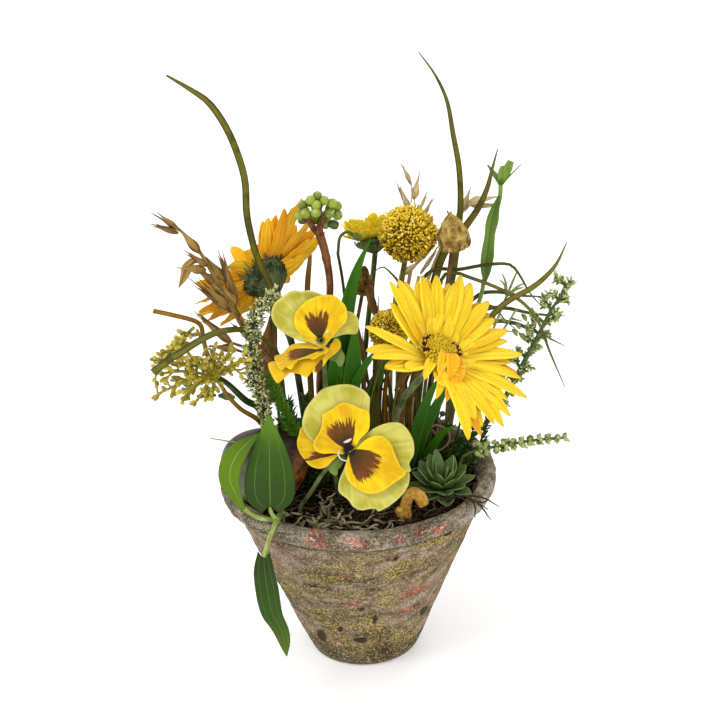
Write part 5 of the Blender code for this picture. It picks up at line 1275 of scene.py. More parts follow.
oat_chance = np.random.default_rng(97)
left_husks = (
    ((-84.6, -11, 253), (-97.4, -12, 263.3)), ((-86.1, -12, 252.5), (-98.3, -13, 258.3)), ((-75.9, -10, 240.4), (-85.8, -11, 254.8)),
    ((-72.9, -9, 232.7), (-83.0, -10, 241.2)), ((-73.4, -11, 231.3), (-87.1, -12, 233.4)), ((-64.0, -6, 222.7), (-74.3, -7, 237.5)),
    ((-60.7, -4, 215.0), (-66.6, -5, 237.4)), ((-59.7, -6, 209.1), (-64.3, -7, 236.7)), ((-62.4, -8, 206.1), (-81.2, -9, 224.7)),
    ((-63.6, -10, 209.3), (-76.0, -11, 224.5)), ((-59.6, -8, 209.4), (-66.7, -9, 223.0)), ((-63.0, -8, 187.9), (-79.5, -9, 206.2)),
    ((-66.0, -6, 191.7), (-78.2, -7, 203.0)), ((-61.6, -8, 185.0), (-75.5, -9, 187.8)), ((-55.5, -6, 196), (-62, -6, 210)),
    ((-68, -9, 222), (-80, -10, 233)), ((-66, -8, 215), (-77, -9, 231)), ((-58, -7, 203), (-69, -8, 217)), ((-52, -6, 188), (-62, -7, 199)))
left_oat = []
for tail, tip in left_husks:
    left_oat += spikelet(tail, tip, 4.6, oat_chance)
left_oat.append(ribbon([(-76.4, -8, 234.6), (-79.8, -10, 236.1), (-83.5, -12, 233.3), (-85.4, -12, 228.4), (-88.1, -12, 222.4)],
                       (1.2, 4.6, 5.6, 3.6, 0.3), (-0.3, -1, 0.4), 18, 9, fold=-0.6, crease=0.05, tone=0.95))
left_straw = planted([(-34, 14), (-40, 2, 160), (-47.8, -4, 180.8), (-54.9, -6, 193.5), (-59.5, -7, 202.7), (-63.5, -8, 213.5), (-69.8, -8, 226.6),
                      (-76.4, -9, 241.1), (-85.1, -11, 253.7)], 40)
left_oat.append(tube(left_straw, eased((1.3, 1.5, 1.7, 1.3, 1.0, 0.6), len(left_straw)), 8, 0.5))
left_oat += [tube(smooth([(-47.8, -4, 180.8), (-57, -6, 182), (-62, -8, 185)], 8), 0.7, 6, 0.3), tube(smooth([(-49, -4, 182), (-58, -7, 186), (-64, -8, 189)], 8), 0.7, 6, 0.3)]
piece("oats_left", together(left_oat), husk_finish("brown_husk", paint(96, 68, 26), paint(176, 142, 76), paint(54, 34, 12), 0.75), ["left_oats"], 0.15)
tan_husk = husk_finish("tan_husk", paint(160, 132, 84), paint(228, 208, 160), paint(118, 88, 50), 0.4)
back_oat = []
for tail, tip, width in (((34.4, 40, 255), (29.9, 40, 266), 4.6), ((35.7, 40, 246.5), (38.8, 40, 260.5), 4.0), ((33, 40, 241), (27.5, 40, 255), 4.2), ((38.2, 40, 240), (42.7, 40, 249.7), 2.4),
                         ((40.6, 40, 237), (45.9, 40, 246.2), 2.6), ((30, 36, 214), (40, 34, 222), 3.4), ((33, 36, 216), (46, 33, 230), 3.2), ((36, 34, 212), (50, 30, 231), 3.4),
                         ((38, 34, 206), (48, 32, 222), 3.4), ((28, 38, 204), (40, 36, 214), 3.4), ((41, 33, 222), (54, 30, 238), 3.0)):
    back_oat += spikelet(tail, tip, width, oat_chance)
back_oat += [tube(smooth(run, 8), 0.3, 5, 0.7) for run in ([(33, 40, 240), (34.6, 40, 248), (34.4, 40, 255.6)], [(33, 40, 236), (36, 40, 242), (35.7, 40, 247)])]
back_straw = planted([(19, 47), (22, 45, 170), (30, 41, 215), (33, 40, 241)], 26)
back_oat += [tube(back_straw, eased((1.2, 1.2, 0.9, 0.4), len(back_straw)), 7, 0.5), tube(planted([(23, 43), (25, 42, 160), (33, 37, 208)], 20), 1.0, 7, 0.2),
             tube(planted([(26, 45), (28, 42, 160), (37, 35, 204)], 20), 0.9, 7, 0.8)]
piece("oats_back", together(back_oat), tan_husk, ["back_oats"], 0.15)
right_oat = []
for tail, tip in (((61, 37, 239), (65.4, 36, 252.4)), ((58, 37, 234), (62, 36, 247)), ((64.2, 36, 244.8), (80.6, 36, 247.6)), ((66, 36, 243), (80, 36, 242.6)),
                  ((60.9, 36, 230), (70, 36, 241)), ((57, 37, 224), (69, 36, 238)), ((55, 37, 221), (66, 36, 234)), ((50, 38, 214), (60, 36, 228))):
    right_oat += spikelet(tail, tip, 4.6, oat_chance)
right_straw = planted([(31, 46), (35, 44, 170), (46, 40, 210), (60, 37, 237), (68, 36, 245)], 26)
right_oat.append(tube(right_straw, eased((1.2, 1.2, 0.9, 0.4), len(right_straw)), 7, 0.5))
piece("oats_right", together(right_oat), tan_husk, ["right_oats"], 0.15)


# Tall grass blades are plastic, olive with darker edges and a few brown bruises. The brown-orange and olive
# stems that arch out at the left are of the same kind, cut off square.
def blade_finish(name, low, high, edge):
    blade = Finish(name, Roughness=0.55, Specular_IOR_Level=0.25)
    across, along = blade.place()
    fibre = blade.noise(1, 3, vector=blade.vector(across * 12, along * 6, blade.tone() * 30))
    bruise = blade.noise(70, 4)
    colour = blade.coats(blade.mix((fibre * 0.5 + bruise * 0.3 + blade.tone() * 0.2).rise(0.34, 0.62), low, high),
                         (across.near(0.5, 0.5).fall(0.25, 0.85) * 0.75, edge), (bruise.rise(0.52, 0.62) * 0.6, edge))
    return blade.done(colour, fibre, 0.2, 0.6)


olive_blade = blade_finish("olive_blade", paint(66, 62, 0), paint(112, 106, 4), paint(38, 32, 4))
brown_blade = blade_finish("brown_blade", paint(110, 72, 10), paint(166, 122, 26), paint(66, 44, 12))
grey_blade = blade_finish("grey_blade", paint(66, 68, 14), paint(116, 112, 36), paint(44, 42, 12))


def grass(points, widths, tone=0.5, face=(0.15, -1, 0.2), body=1.3, rows=60):
    route = planted(points, rows)
    return ribbon(route, widths, face, rows, 6, fold=0.12, body=body, tone=tone)


tall_blades = (
    ("blade_tall_left", "tall_left_blade", olive_blade, [(-42, 22), (-42, 10, 165), (-41, 0, 192), (-41, -5, 216), (-45.4, -9, 231), (-48.3, -10, 242.5), (-50.8, -10, 260), (-50.7, -10, 279),
                                                         (-54.6, -9, 296), (-59.6, -8, 308.5), (-66.4, -8, 319.5), (-75, -8, 326.5), (-86, -8, 334)], (1.6, 1.6, 1.7, 2.4, 3.2, 3.4, 3.4, 3.6, 3.6, 3.6, 3.2, 1.0)),
    ("blade_tall_centre", "tall_centre_blade", olive_blade, [(37, 37), (48, 31, 174), (55, 28, 207), (59, 22, 243), (59, 20, 268), (56, 18, 289), (53, 15, 308), (47, 12, 323), (39, 8, 336)],
     (2.4, 2.6, 3.4, 3.6, 3.6, 3.4, 3.2, 2.8, 1.8, 0.5)),
    ("blade_tall_right", "tall_right_blade", olive_blade, [(32, 29), (39, 27, 171), (48, 24, 216), (60, 18, 236), (68, 15, 249), (72.7, 12, 261), (75.1, 9, 272), (78, 7, 284)],
     (2.6, 3.4, 4.4, 4.6, 4.6, 4.4, 4.0, 2.8, 0.5)),
    ("blade_brown", "brown_blade", brown_blade, [(-24, 28), (-24, 27, 178), (-23, 27, 204), (-21, 27, 220), (-20, 27, 234)], (3.0, 3.2, 3.4, 3.4, 3.4, 3.2, 2.8, 0.5)),
    ("arc_low", "low_left_arc", brown_blade, [(-42, 8), (-49.5, -8, 139.5), (-60.9, -12, 152.2), (-68.5, -14, 164.1), (-72.9, -16, 178.5), (-75.7, -17, 186.4), (-76.9, -19, 197.4),
                                              (-77.3, -21, 204.5), (-80.5, -24, 209), (-89.3, -30, 214.8), (-99.5, -36, 220.4)], (2.6, 3.2, 3.2, 2.8, 2.4, 2.2, 2.2, 2.4, 2.4, 2.4)),
    ("arc_high", "high_left_arc", grey_blade, [(-37, 3), (-38, 0, 165), (-40.7, -6, 183), (-47, -12, 192.4), (-52.6, -18, 199.3), (-60.2, -26, 204), (-69.4, -34, 206), (-78.3, -40, 204.1),
                                               (-87, -44, 200.2), (-92.2, -46, 198), (-101, -48, 191.8)], (1.4, 1.4, 1.5, 1.5, 1.6, 2.0, 2.8, 3.4, 3.8, 4.0)))
for name, node, finish, points, widths in tall_blades:
    shape = grass(points, widths)
    if name == "arc_high":
        shape = together([shape, tube([(-92.8, -46.2, 197.6), (-91.7, -45.8, 198.2)], (2.2, 2.2), 12, 0.1)])
    piece(name, shape, finish, [node])


# Two tufts of thin plastic grass arch out to the right, and more thin stems stand close together in the middle.
upper_grass = (
    ([(33, 8), (37, 22, 194), (43, 22, 212), (57, 18, 214), (71, 13, 218), (83, 8, 220), (88, 5, 216), (94, 0, 206), (101, -5, 199)], 2.0),
    ([(34, 8), (30, 20, 190), (20, 22, 214), (12, 21, 213.5)], 1.9),
    ([(33, 9), (46, 9, 203), (53, 8, 216), (63, 6, 214), (79, 5, 207), (91, 6, 198), (99, 8, 186), (105, 11, 168), (114, 14, 144)], 2.0),
    ([(34, 9), (60, 4, 176), (71, -1, 192), (81, -5, 204), (95, -9, 214), (105, -13, 226), (111, -17, 241)], 3.2))
lower_grass = (
    ([(48, 17), (56, 22, 178), (67, 29, 193), (78, 33, 194), (92, 36, 190), (107, 40, 187)], 2.2),
    ([(48, 18), (60, 36, 165), (72, 42, 179), (84, 43, 180), (100, 45, 175), (118, 47, 172)], 2.2),
    ([(49, 17), (62, 44, 150), (76, 53, 166), (88, 55, 166), (100, 57, 160), (119, 60, 148)], 2.4),
    ([(47, 16), (60, 30, 172), (74, 34, 186), (84, 34, 176), (92, 34, 168)], 1.2))
for name, node, blades in (("grass_upper", "upper_grass_tuft", upper_grass), ("grass_lower", "lower_grass_tuft", lower_grass)):
    shapes = [grass(points, (width * 0.8, width, width, width, width, width, width * 0.8, 0.4), 0.2 + 0.2 * i, (0.2, -0.8, 0.6), 0.7)
              for i, (points, width) in enumerate(blades)]
    piece(name, together(shapes), grey_blade, [node])
bundle_chance = np.random.default_rng(103)
bundle = []
for i in range(26):
    x, y = bundle_chance.uniform(4, 30), bundle_chance.uniform(2, 30)
    top = bundle_chance.uniform(150, 224)
    lean = bundle_chance.normal(0.3, 0.8) * 8
    points = [(x, y), (x + lean * 0.2, y, 140), (x + lean * 0.7, y - 2, (140 + top) / 2), (x + lean, y - 4, top)]
    width = bundle_chance.uniform(1.4, 2.8)
    bundle.append(grass(points, (width, width, width * 0.9, width * 0.7, 0.3), bundle_chance.uniform(0, 1), (bundle_chance.normal(0, 0.5), -1, 0), 0.8, 26))
piece("stem_bundle_olive", together(bundle[:15]), grey_blade, ())
piece("stem_bundle_brown", together(bundle[15:]), brown_blade, ())


# The green leafy stem is one plastic moulding: a thin stalk, four leaflets in a whorl on its top and one long
# wavy leaf grown along it, its halves in two greens on either side of a dark rib.
def simple_leaf(name, low, high, rib, rough=0.45):
    return leaf_finish(name, low, high, high, rib, (0.5,), 26, rough, 0.2, 0.05)


whorl_green = simple_leaf("whorl_green", paint(46, 76, 18), paint(118, 148, 62), paint(42, 66, 20))
whorl_run = planted([(42, 32), (55, 24, 165), (68, 22, 192), (72, 20, 212), (77, 21, 240), (80, 21, 252), (80.4, 21, 259.5)], 34)
whorl = [tube(whorl_run, eased((1.2, 1.1, 1.1, 0.9, 1.0), len(whorl_run)), 9, 0.0)]
for middle, tip, wide, face, tone in (((78.6, 19.6, 264.5), (73.6, 18, 271.8), (1.0, 3.4, 4.0, 2.6, 0.8), (-0.7, -0.6, 0.3), 0.0), ((81, 18.2, 265.0), (81.6, 16.6, 271.4), (1.2, 3.6, 5.0, 4.8, 3.0), (0.1, -1, 0.3), 0.1),
                                      ((83.2, 22.6, 264.5), (86.4, 24.4, 271), (1.2, 3.6, 4.8, 4.8, 3.4), (-0.4, -0.8, 0.4), 1.0), ((84.4, 21, 263.6), (91.2, 20.8, 270.4), (1.0, 2.2, 2.6, 1.8, 0.4), (0.7, -0.2, -0.6), 0.0)):
    whorl.append(ribbon([(80.4, 21, 258.6), middle, tip], wide, face, 14, 9, fold=0.3, tone=tone))
piece("leafy_stem", together(whorl), whorl_green, ["whorled_leafy_stem"], 0.35)
piece("wavy_leaf", ribbon([(71.4, 17.8, 206), (72.2, 17.4, 216), (73.2, 16.6, 226), (74.4, 16.8, 235), (76.0, 17.6, 243), (79.4, 19.4, 254)],
                          (1.2, 5.4, 6.8, 6.4, 5.6, 6.4, 4.6, 1.0), (0.15, -1, 0.25), 40, 13, fold=0.22, frill=0.35, seed=4),
      leaf_finish("wavy_green", paint(88, 114, 38), paint(104, 134, 46), paint(80, 106, 32), paint(40, 62, 24), (0.5, 0.66, 0.8), 30, 0.45, 0.3, 0.09), ["long_wavy_leaf"], 0.4)


# Fillers. The yellow-green one is moulded like coral: branches that fork into short twigs with thick round
# ends. Its stem is dark green, and small blue-green leaves sit behind it.
club_chance = np.random.default_rng(109)


def clubs(route, count, length, size):
    """Short twigs with thick ends all along a branch."""
    route = smooth(route, 40)
    shapes = [tube(route, eased((size, size * 0.9, size * 0.8), 40), 7, 0.3)]
    for i in range(count):
        spot = route[int(39 * (0.15 + 0.85 * (i + 1) / count))]
        way = club_chance.normal(0, 1, 3) * (1, 0.8, 0.8) + (route[-1] - route[0]) / np.linalg.norm(route[-1] - route[0])
        way /= np.linalg.norm(way)
        reach = length * club_chance.uniform(0.7, 1.2)
        elbow = spot + way * reach * 0.55
        shapes.append(tube(smooth([spot, elbow], 5), size * 0.62, 6, 0.3))
        for _ in range(2):
            end = elbow + (way + club_chance.normal(0, 0.55, 3)) * reach * 0.5
            fat = size * club_chance.uniform(1.0, 1.4)
            shapes.append(tube(smooth([elbow, elbow * 0.4 + end * 0.6, end, end + (end - elbow) * 0.25], 7), eased((size * 0.55, size * 0.7, fat, fat, fat * 0.5), 7), 7,
                               club_chance.uniform(0, 1)))
    return shapes


coral_hub = (-70.8, -23, 176)
coral = []
for tip, count in (((-101.0, -30, 182.6), 10), ((-102.0, -26, 169.3), 9), ((-93.9, -30, 174.3), 6), ((-88.2, -30, 168.4), 8), ((-81.1, -35, 168.7), 7), ((-73.7, -30, 168.3), 8),
                   ((-68.0, -30, 190.9), 7), ((-63.5, -26, 188.3), 6), ((-56.3, -30, 187.4), 6), ((-58.7, -24.5, 180.2), 5), ((-78.0, -34.8, 191.7), 8), ((-85.6, -30.7, 189.0), 8),
                   ((-93.6, -26, 187.2), 8), ((-72.9, -30.8, 196.1), 7), ((-84.3, -35, 176.1), 7)):
    middle = (np.array(coral_hub) + tip) / 2 + (0, 0, 2.5)
    coral += clubs([coral_hub, middle, tip], count, 4.6, 0.85)
for _ in range(3):
    coral += clubs([(-80.4, -27, 206.6), (-86, -31, 202.8), (-92.6, -33.5, 197.4), (-99.4, -36, 189.6)], 22, 3.4, 0.9)
coral += [tube(smooth([coral_hub, (-74, -26, 190), (-79, -28, 205.6)], 12), 0.8, 7, 0.2)]
piece("coral_filler", together(coral), bead_finish("coral", paint(124, 110, 16), paint(198, 180, 60), paint(214, 200, 100), 0.6), ["yellow_bead_filler"])
coral_stem = planted([(-44, 14), (-49.9, -4, 144.9), (-58, -12, 157.1), (-65.9, -18, 169.6), (-71.5, -23.4, 177)], 26)
piece("coral_stem", tube(coral_stem, eased((1.5, 1.9, 1.9, 1.3), len(coral_stem)), 9, 0.4), stem_skin("coral_bark", paint(36, 52, 18), paint(78, 96, 38), 12), ["yellow_bead_filler"])
teal_leaves = []
for run, wide in (([(-91.5, -6, 168.5), (-88, -6, 165), (-85, -6, 162.4)], (1.0, 4.2, 1.4)), ([(-80, -4, 161), (-77, -4, 157.6), (-73.6, -4, 156.6)], (1.0, 3.6, 1.2)),
                  ([(-72.6, -4, 156.4), (-69, -4, 156.2), (-63.6, -6, 155.8)], (1.4, 4.6, 1.6)), ([(-51.6, 0, 163), (-50.6, 0, 156), (-45.6, 0, 148)], (1.2, 4.6, 2.0))):
    teal_leaves.append(ribbon(run, wide, (0.1, -1, 0.3), 12, 7, fold=0.2, tone=0.8))
piece("coral_leaves", together(teal_leaves), simple_leaf("teal_leaf", paint(34, 50, 22), paint(84, 124, 92), paint(40, 62, 44)), ["yellow_bead_filler"], 0.3)


# The white-green filler is a plume of plastic florets, each a few blunt petals on a short stalk, paler at its tip.
def plume(route, reach, count, size, chance, clear=0.12):
    """Florets on short stalks all round a stem. reach is how far they stand off, from foot to tip."""
    route = smooth(route, 60)
    off = eased(reach, 60)
    shapes = [tube(route[::3], eased((1.0, 0.9, 0.6), 20), 7, 0.0)]
    ahead = np.gradient(route, axis=0)
    ahead /= np.linalg.norm(ahead, axis=1)[:, None]
    for _ in range(count):
        i = int(chance.uniform(clear, 1) * 59)
        way = np.cross(ahead[i], chance.normal(0, 1, 3))
        way = way / np.linalg.norm(way) + ahead[i] * chance.uniform(0.2, 1.0)
        far = off[i] * chance.uniform(0.35, 1.0)
        foot = route[i] + way * far
        shapes.append(tube([route[i], foot], (0.22, 0.18), 3, 0.0, False))
        for _ in range(4):
            lean = way + chance.normal(0, 0.75, 3)
            wide = size * chance.uniform(0.7, 1.2)
            shapes.append(tube([foot, foot + lean * wide * 0.9, foot + lean * wide * 1.5], (wide * 0.5, wide * 0.95, wide * 0.6), 4, chance.uniform(0.12, 1) ** 0.8 * (0.55 + 0.45 * min(i / 28, 1))))
        if chance.uniform() < 0.8:
            shapes.append(tube([foot - way * 0.5, foot + way * 1.6 + chance.normal(0, 0.8, 3)], (0.4, 0.1), 4, 0.0))
    return shapes


plume_chance = np.random.default_rng(113)
white_plume = plume([(-40, -10, 120), (-44.9, -16, 133.6), (-46.5, -16, 143.8), (-48.7, -18, 159.5), (-51.2, -20, 169.3), (-51.6, -20, 180.8), (-53, -22, 190.3), (-51.5, -22, 198.7),
                     (-49.9, -22, 207.1), (-46.4, -22, 213.6), (-41.0, -20, 219.0), (-36.5, -20, 221.5)], (1.0, 2.6, 4.0, 4.2, 4.4, 4.2, 3.8, 1.8), 520, 0.58, plume_chance)
white_plume.append(tube(planted([(-27, 0), (-30, -3, 112), (-40, -10, 120)], 10), 1.2, 8, 0.0))
plume_finish = bead_finish("plume_florets", paint(40, 64, 10), paint(210, 208, 140), paint(60, 86, 20), 0.6)
piece("white_green_plume", together(white_plume), plume_finish, ["white_green_filler"])


# Needle ferns are cut from thin plastic: a bright one in front and a dark bushy one that fills the gap between
# the fruit and the pansies, with more of it low at the right.
def needles(route, count, length, chance, tone, wide=0.55):
    route = smooth(route, 50)
    ahead = np.gradient(route, axis=0)
    ahead /= np.linalg.norm(ahead, axis=1)[:, None]
    shapes = [tube(route, eased((0.7, 0.5, 0.3), 50), 5, tone)]
    for _ in range(count):
        i = int(chance.uniform(0.08, 1) * 49)
        way = np.cross(ahead[i], chance.normal(0, 1, 3))
        way = way / np.linalg.norm(way) + ahead[i] * chance.uniform(0.5, 1.1)
        far = length * chance.uniform(0.6, 1.1) * (1.1 - 0.5 * i / 49)
        shapes.append(tube([route[i], route[i] + way * far * 0.55 + (0, 0, 0.1), route[i] + way * far + (0, 0, 0.5)], (wide * 0.6, wide, 0.08), 3,
                           np.clip(tone + chance.normal(0, 0.12), 0, 1), False))
    return shapes


fern_chance = np.random.default_rng(127)
fern = needles([(-29, -12, 122), (-31.2, -14, 133.2), (-35, -14, 142.3), (-38.1, -14, 152.4), (-41.3, -14, 161.9), (-45, -14, 172)], 420, 5.6, fern_chance, 0.95)
fern_spots = ((-30, -4, 140, -2), (-25, -2, 138, 3), (-20, 0, 148, 2), (-36, -6, 142, -4), (-15, 2, 156, 2), (-26, 4, 152, 0), (-33, 2, 150, -3), (-10, 4, 160, 3), (-38, -10, 134, -4), (-22, -8, 128, 1))
for x, y, top, lean in fern_spots:
    fern += needles([(x * 0.9, y, 98), (x * 0.95, y, (98 + top) / 2), (x + lean, y - 1, top)], 260, 6.0, fern_chance, 0.3)
fern.append(tube(planted([(-22, 9), (-26, -4, 112), (-29, -12, 122)], 10), 1.1, 6, 0.3))
for x, y, x2, z2 in ((48, 12, 58, 118), (52, 14, 66, 128), (56, 10, 74, 136), (44, 16, 50, 124)):
    fern += needles([(x, y, 99), ((x + x2) / 2, y, 108), (x2, y - 1, z2)], 90, 4.6, fern_chance, 0.2)
fern_finish = bead_finish("fern_green", paint(34, 48, 12), paint(100, 148, 34), paint(62, 94, 22), 0.5)
piece("needle_ferns", together(fern), fern_finish, ["needle_fern"])


# The right sprig is a thick green plastic stem with bunches of white-green florets on side twigs. Beside it
# stand a twig with a few pale leaves and a thin sprig of pins.
sprig_run = planted([(48, 26), (66, 27, 112), (79.5, 26, 129.4), (86, 24, 142.2), (92.5, 22, 156.7), (99.3, 20, 171.6), (106.1, 18, 187.4), (110.2, 17, 194.6), (114.9, 16, 204)], 50)
sprig = [tube(sprig_run, eased((1.0, 1.4, 1.5, 1.4, 1.0, 0.6), len(sprig_run)), 9, 0.1)]
for i in range(22):
    at = sprig_run[int(len(sprig_run) * (0.36 + 0.63 * i / 21)) - 1]
    side = -1 if i % 2 else 1
    out = at + (side * plume_chance.uniform(3.5, 7.5), plume_chance.uniform(-3, 3), plume_chance.uniform(2, 7))
    sprig += plume([at, (at + out) / 2 + (0, 0, 0.8), out], (0.8, 1.8, 2.2), 20, 0.60, plume_chance, 0.3)
piece("sprig_right", together(sprig), bead_finish("sprig_florets", paint(46, 72, 12), paint(194, 202, 124), paint(64, 92, 24), 0.6), ["right_sprig"])
pins = [tube(smooth([(52, 20, 102), (64, 18, 150), (77.5, 15, 185.3), (80.7, 15, 193.9), (84.5, 15, 203.5)], 30), 0.55, 6, 0.4)]
for x, y, z in ((80.6, 16, 211.2), (88.2, 14, 213), (92.4, 15, 206), (91.6, 16, 203), (79.4, 14, 208.5)):
    pins.append(tube(smooth([(82.6, 15, 198.6), ((84 + x) / 2, 15, (202 + z) / 2), (x, y, z)], 6), eased((0.5, 0.6, 0.25), 6), 6, 0.5))
pins.append(tube(smooth([(54, 22, 102), (66, 18, 140), (73.6, 15, 169), (81.7, 15, 181), (88.2, 15, 191.5)], 30), eased((0.8, 0.7, 0.4), 30), 6, 0.1))
for x, y, z, x2, z2 in ((80, 15, 179, 86, 178), (83, 15, 183, 79, 187), (85, 15, 186, 91, 184)):
    pins.append(tube([(x, y, z), (x2, y, z2)], (0.6, 0.2), 5, 0.1))
for x, y, z in ((87.5, 20, 181.5), (93.9, 20, 179.5), (89.6, 20, 175.0), (85.9, 20, 177.5), (74.1, 20, 186.2), (96, 20, 183), (91, 20, 186)):
    pins.append(ribbon([(x, y, z), (x + 1.6, y - 0.6, z - 1.6), (x + 2.6, y - 1, z - 3.8)], (0.8, 2.6, 1.0), (0.2, -1, 0.3), 8, 5, tone=0.95))
piece("pin_sprig", together(pins), simple_leaf("pin_green", paint(52, 66, 28), paint(142, 150, 84), paint(70, 84, 40)), (), 0.2)


# The berry spike is a moulded stem with whorls of chunky light green beads, each split into blunt lobes.
spike_run = smooth([(58, 4.4, 110), (66, 3, 114.0), (82, 1, 117.6), (97, -1.6, 121), (112.6, -4, 123.0)], 60)
spike = [tube(np.concatenate([planted([(56, 6), (57, 5, 108)], 6), spike_run]), 0.9, 8, 0.0)]
spike_chance = np.random.default_rng(131)
for k in range(11):
    at = spike_run[int(59 * (0.16 + 0.84 * k / 10))]
    size = 1.65 - 0.05 * k
    for i in range(9):
        angle = 2 * pi * i / 9 + k * 0.5
        out = np.array((spike_chance.uniform(-0.55, 0.55), cos(angle), sin(angle)))
        spot = at + out * (2.9 - 0.14 * k) * spike_chance.uniform(0.85, 1.15)
        spike.append(bead(spot, size * spike_chance.uniform(0.8, 1.05), spike_chance.uniform(0, 1), tuple(out / np.linalg.norm(out)), 0.9))
        if i % 3 == 0:
            spike.append(tube([at, spot + out * 1.4 + (1.2, 0, 0)], (0.5, 0.7), 5, 0.9))
piece("bead_spike", together(spike), bead_finish("spike_bead", paint(84, 106, 36), paint(176, 188, 110), paint(216, 218, 168), 0.5), ["berry_spike"])


# Broad leaves of iris kind are printed silk over a wire: several stand together in the middle, and one at the
# right leans out beside the succulent.
iris_green = leaf_finish("iris_green", paint(22, 48, 0), paint(40, 86, 0), paint(60, 116, 4), paint(104, 134, 58), (0.04, 0.96), 40, 0.45, 0.25, 0.05)
iris_leaves = (
    ([(-5, 15), (-4, 11, 153), (-4, 6, 188), (1, 5, 213), (6, 5, 227), (11.4, 6, 237)], (4, 6, 8.4, 9.4, 9.4, 8.4, 5.6, 0.5), (0.3, -1, 0.1)),
    ([(-7.5, 17), (-10, 19, 152), (-12, 15, 178), (-14, 14, 204)], (3.6, 8.0, 8.0, 0.5), (-0.2, -1, 0.1)),
    ([(-5, 13.6), (-1, 2, 149), (4, -2, 166), (11, 0, 175), (20, 2, 183)], (3.0, 5.0, 6.0, 4.4, 0.5), (-0.3, -1, 0.2)),
    ([(-3, 16), (-2, 4, 150), (0, 0, 172), (2, 1, 196)], (4, 9, 9.6, 8.8, 0.5), (0.1, -1, 0.1)),
    ([(-10, 15), (-12, 6, 148), (-9, 1, 170), (-8, 2, 194)], (4, 8, 9.0, 8.0, 0.5), (-0.1, -1, 0.1)),
    ([(2, 14), (7, 6, 140), (15, 2, 168), (24, 0, 190)], (3, 5.6, 6.2, 4.8, 0.5), (0.2, -1, 0.2)))
iris_shapes = [ribbon(planted(points, 34), widths, face, 34, 11, fold=0.16, tone=0.15 * i, seed=i, frill=0.1) for i, (points, widths, face) in enumerate(iris_leaves)]
piece("iris_fan", together(iris_shapes), iris_green, ["iris_leaves"], 0.4)
side_iris = (([(28, -1), (30, -1, 118), (34, -2, 136), (40, -3, 152), (46, -4, 163)], (4.0, 4.8, 6.0, 6.0, 4.6, 0.5)), ([(31, 4), (35, 3, 122), (43, 2, 142), (52, 0, 160)], (3.4, 5.0, 5.8, 4.8, 0.5)),
             ([(34, 8), (38, 6, 112), (46, 4, 124), (54, 3, 130)], (3.0, 4.6, 4.4, 0.5)))
piece("iris_side", together([ribbon(planted(points, 30), widths, (0.2, -1, 0.2), 30, 11, fold=0.18, tone=0.2 + 0.3 * i, seed=9 + i) for i, (points, widths) in enumerate(side_iris)]),
      iris_green, ["single_iris_leaf"], 0.4)


# Small things low at the right: a grey-green bead sprig, and a dried tendril that curls over itself.
small_run = planted([(39, 21), (41, 22, 116), (43, 23.5, 124)], 12)
bead_sprig = [tube(small_run, 0.8, 7, 0.2)]
for x, y, z in ((40.5, 23.5, 129.5), (44, 24.5, 131.5), (47.6, 23, 127), (45.6, 22, 122.6), (41, 22, 123), (48, 23.4, 121.6), (38.6, 23, 126)):
    bead_sprig.append(tube([(43, 23.4, 119), (x, y, z)], (0.45, 0.45), 6, 0.3))
    bead_sprig.append(bead((x, y, z), 1.6, spike_chance.uniform(0.3, 1), (x / 60 - 0.7, 0, 0.8), 1.1))
piece("grey_bead_sprig", together(bead_sprig), bead_finish("grey_bead", paint(58, 76, 54), paint(116, 136, 112), paint(150, 168, 146), 0.6), ["bead_sprig"])
tendril_runs = ([(36, 8), (33.1, 5, 114), (37, 6, 122), (42.2, 7, 128), (49.2, 8, 124.4), (50.4, 8, 118.3), (46.4, 8, 113), (40, 7, 111), (36, 6, 108)],)
tendrils = [tube(planted(run, 46), 0.55, 6, 0.7) for run in tendril_runs]
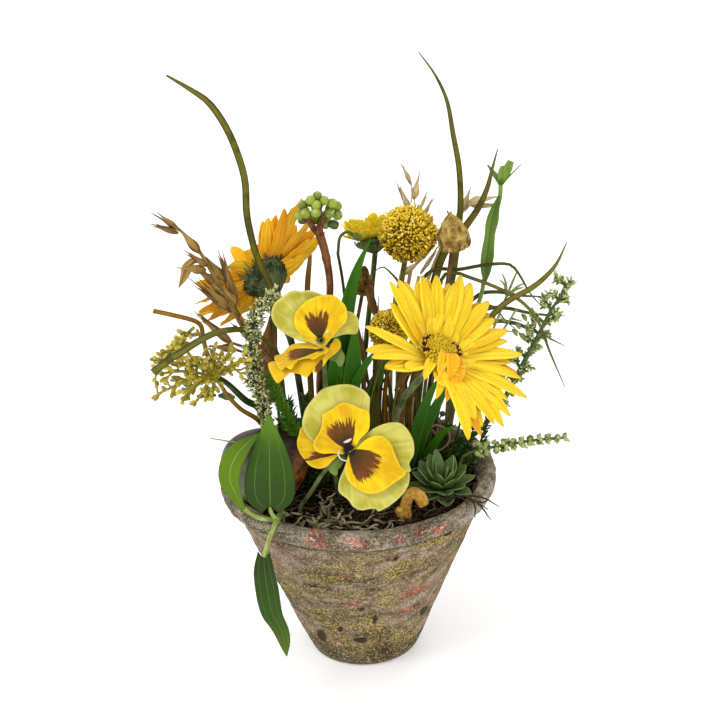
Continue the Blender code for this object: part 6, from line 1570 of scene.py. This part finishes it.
for run in ([(38, 7, 121), (41, 6, 126), (43, 6, 121), (41.4, 6, 118)], [(43, 6.4, 124.4), (45.4, 6, 120.4), (44, 6, 118)], [(30, -2, 104), (35, -6, 108), (30, -12, 112), (24, -14, 108)],
            [(26, -20, 101), (33, -24, 107), (38, -28, 104)], [(24, -4, 101), (27, -10, 110), (25, -16, 114)]):
    tendrils.append(tube(smooth(run, 20), 0.42, 6, 0.5))
piece("curled_tendrils", together(tendrils), dry_thread("dry_tendril", paint(78, 60, 38), paint(160, 136, 100)), ["curled_tendril"])


# Dry brown leaves and sheaths cling to the lower stems, as they do on any dried bunch.
dry_leaves = []
for run, wide in (([(-43, -2, 150), (-45.5, -2, 170), (-44.6, -2, 186), (-42.6, -1, 200)], (3, 7.4, 6.4, 0.4)), ([(-45, -1, 150), (-49, -2, 172), (-52, -3, 190)], (3, 6.0, 0.4)),
                  ([(-41, 2, 158), (-41.6, 0, 176), (-40.4, 0, 194)], (2, 4.6, 0.3)), ([(16, 4, 190), (12.6, 3, 199), (7.6, 3, 213)], (2.0, 4.2, 0.3)),
                  ([(14, 4, 196), (12, 3, 204), (9, 3, 216)], (1.4, 2.6, 0.3)), ([(8, 10, 150), (4, 12, 178), (-2.4, 14, 207)], (1.6, 3.0, 0.3)), ([(-4, 18, 180), (-2.6, 19, 194), (1.6, 20, 208)], (2, 4.0, 0.6)),
                  ([(-7, 20, 184), (-3.4, 20, 196), (-2.2, 20, 204)], (2, 3.4, 0.6)), ([(22, 6, 150), (27, 3, 160), (33, 0, 166)], (2, 5.0, 0.5)), ([(30, 8, 140), (33, 6, 158), (39, 4, 172)], (1.6, 3.4, 0.3)),
                  ([(18, 6, 160), (22, 2, 172), (30, 0, 178)], (1.6, 3.6, 0.3)), ([(24, 8, 120), (26, 4, 150), (24, 2, 176)], (2, 4.0, 0.4))):
    dry_leaves.append(ribbon(run, wide, (0.4, -1, 0.1), 20, 9, fold=-0.45, frill=0.35, crease=0.05, tone=oat_chance.uniform(0, 0.8), seed=len(dry_leaves)))
piece("dry_sheaths", together(dry_leaves), husk_finish("dry_leaf", paint(72, 46, 20), paint(140, 106, 58), paint(48, 28, 12)), (), 0.2)
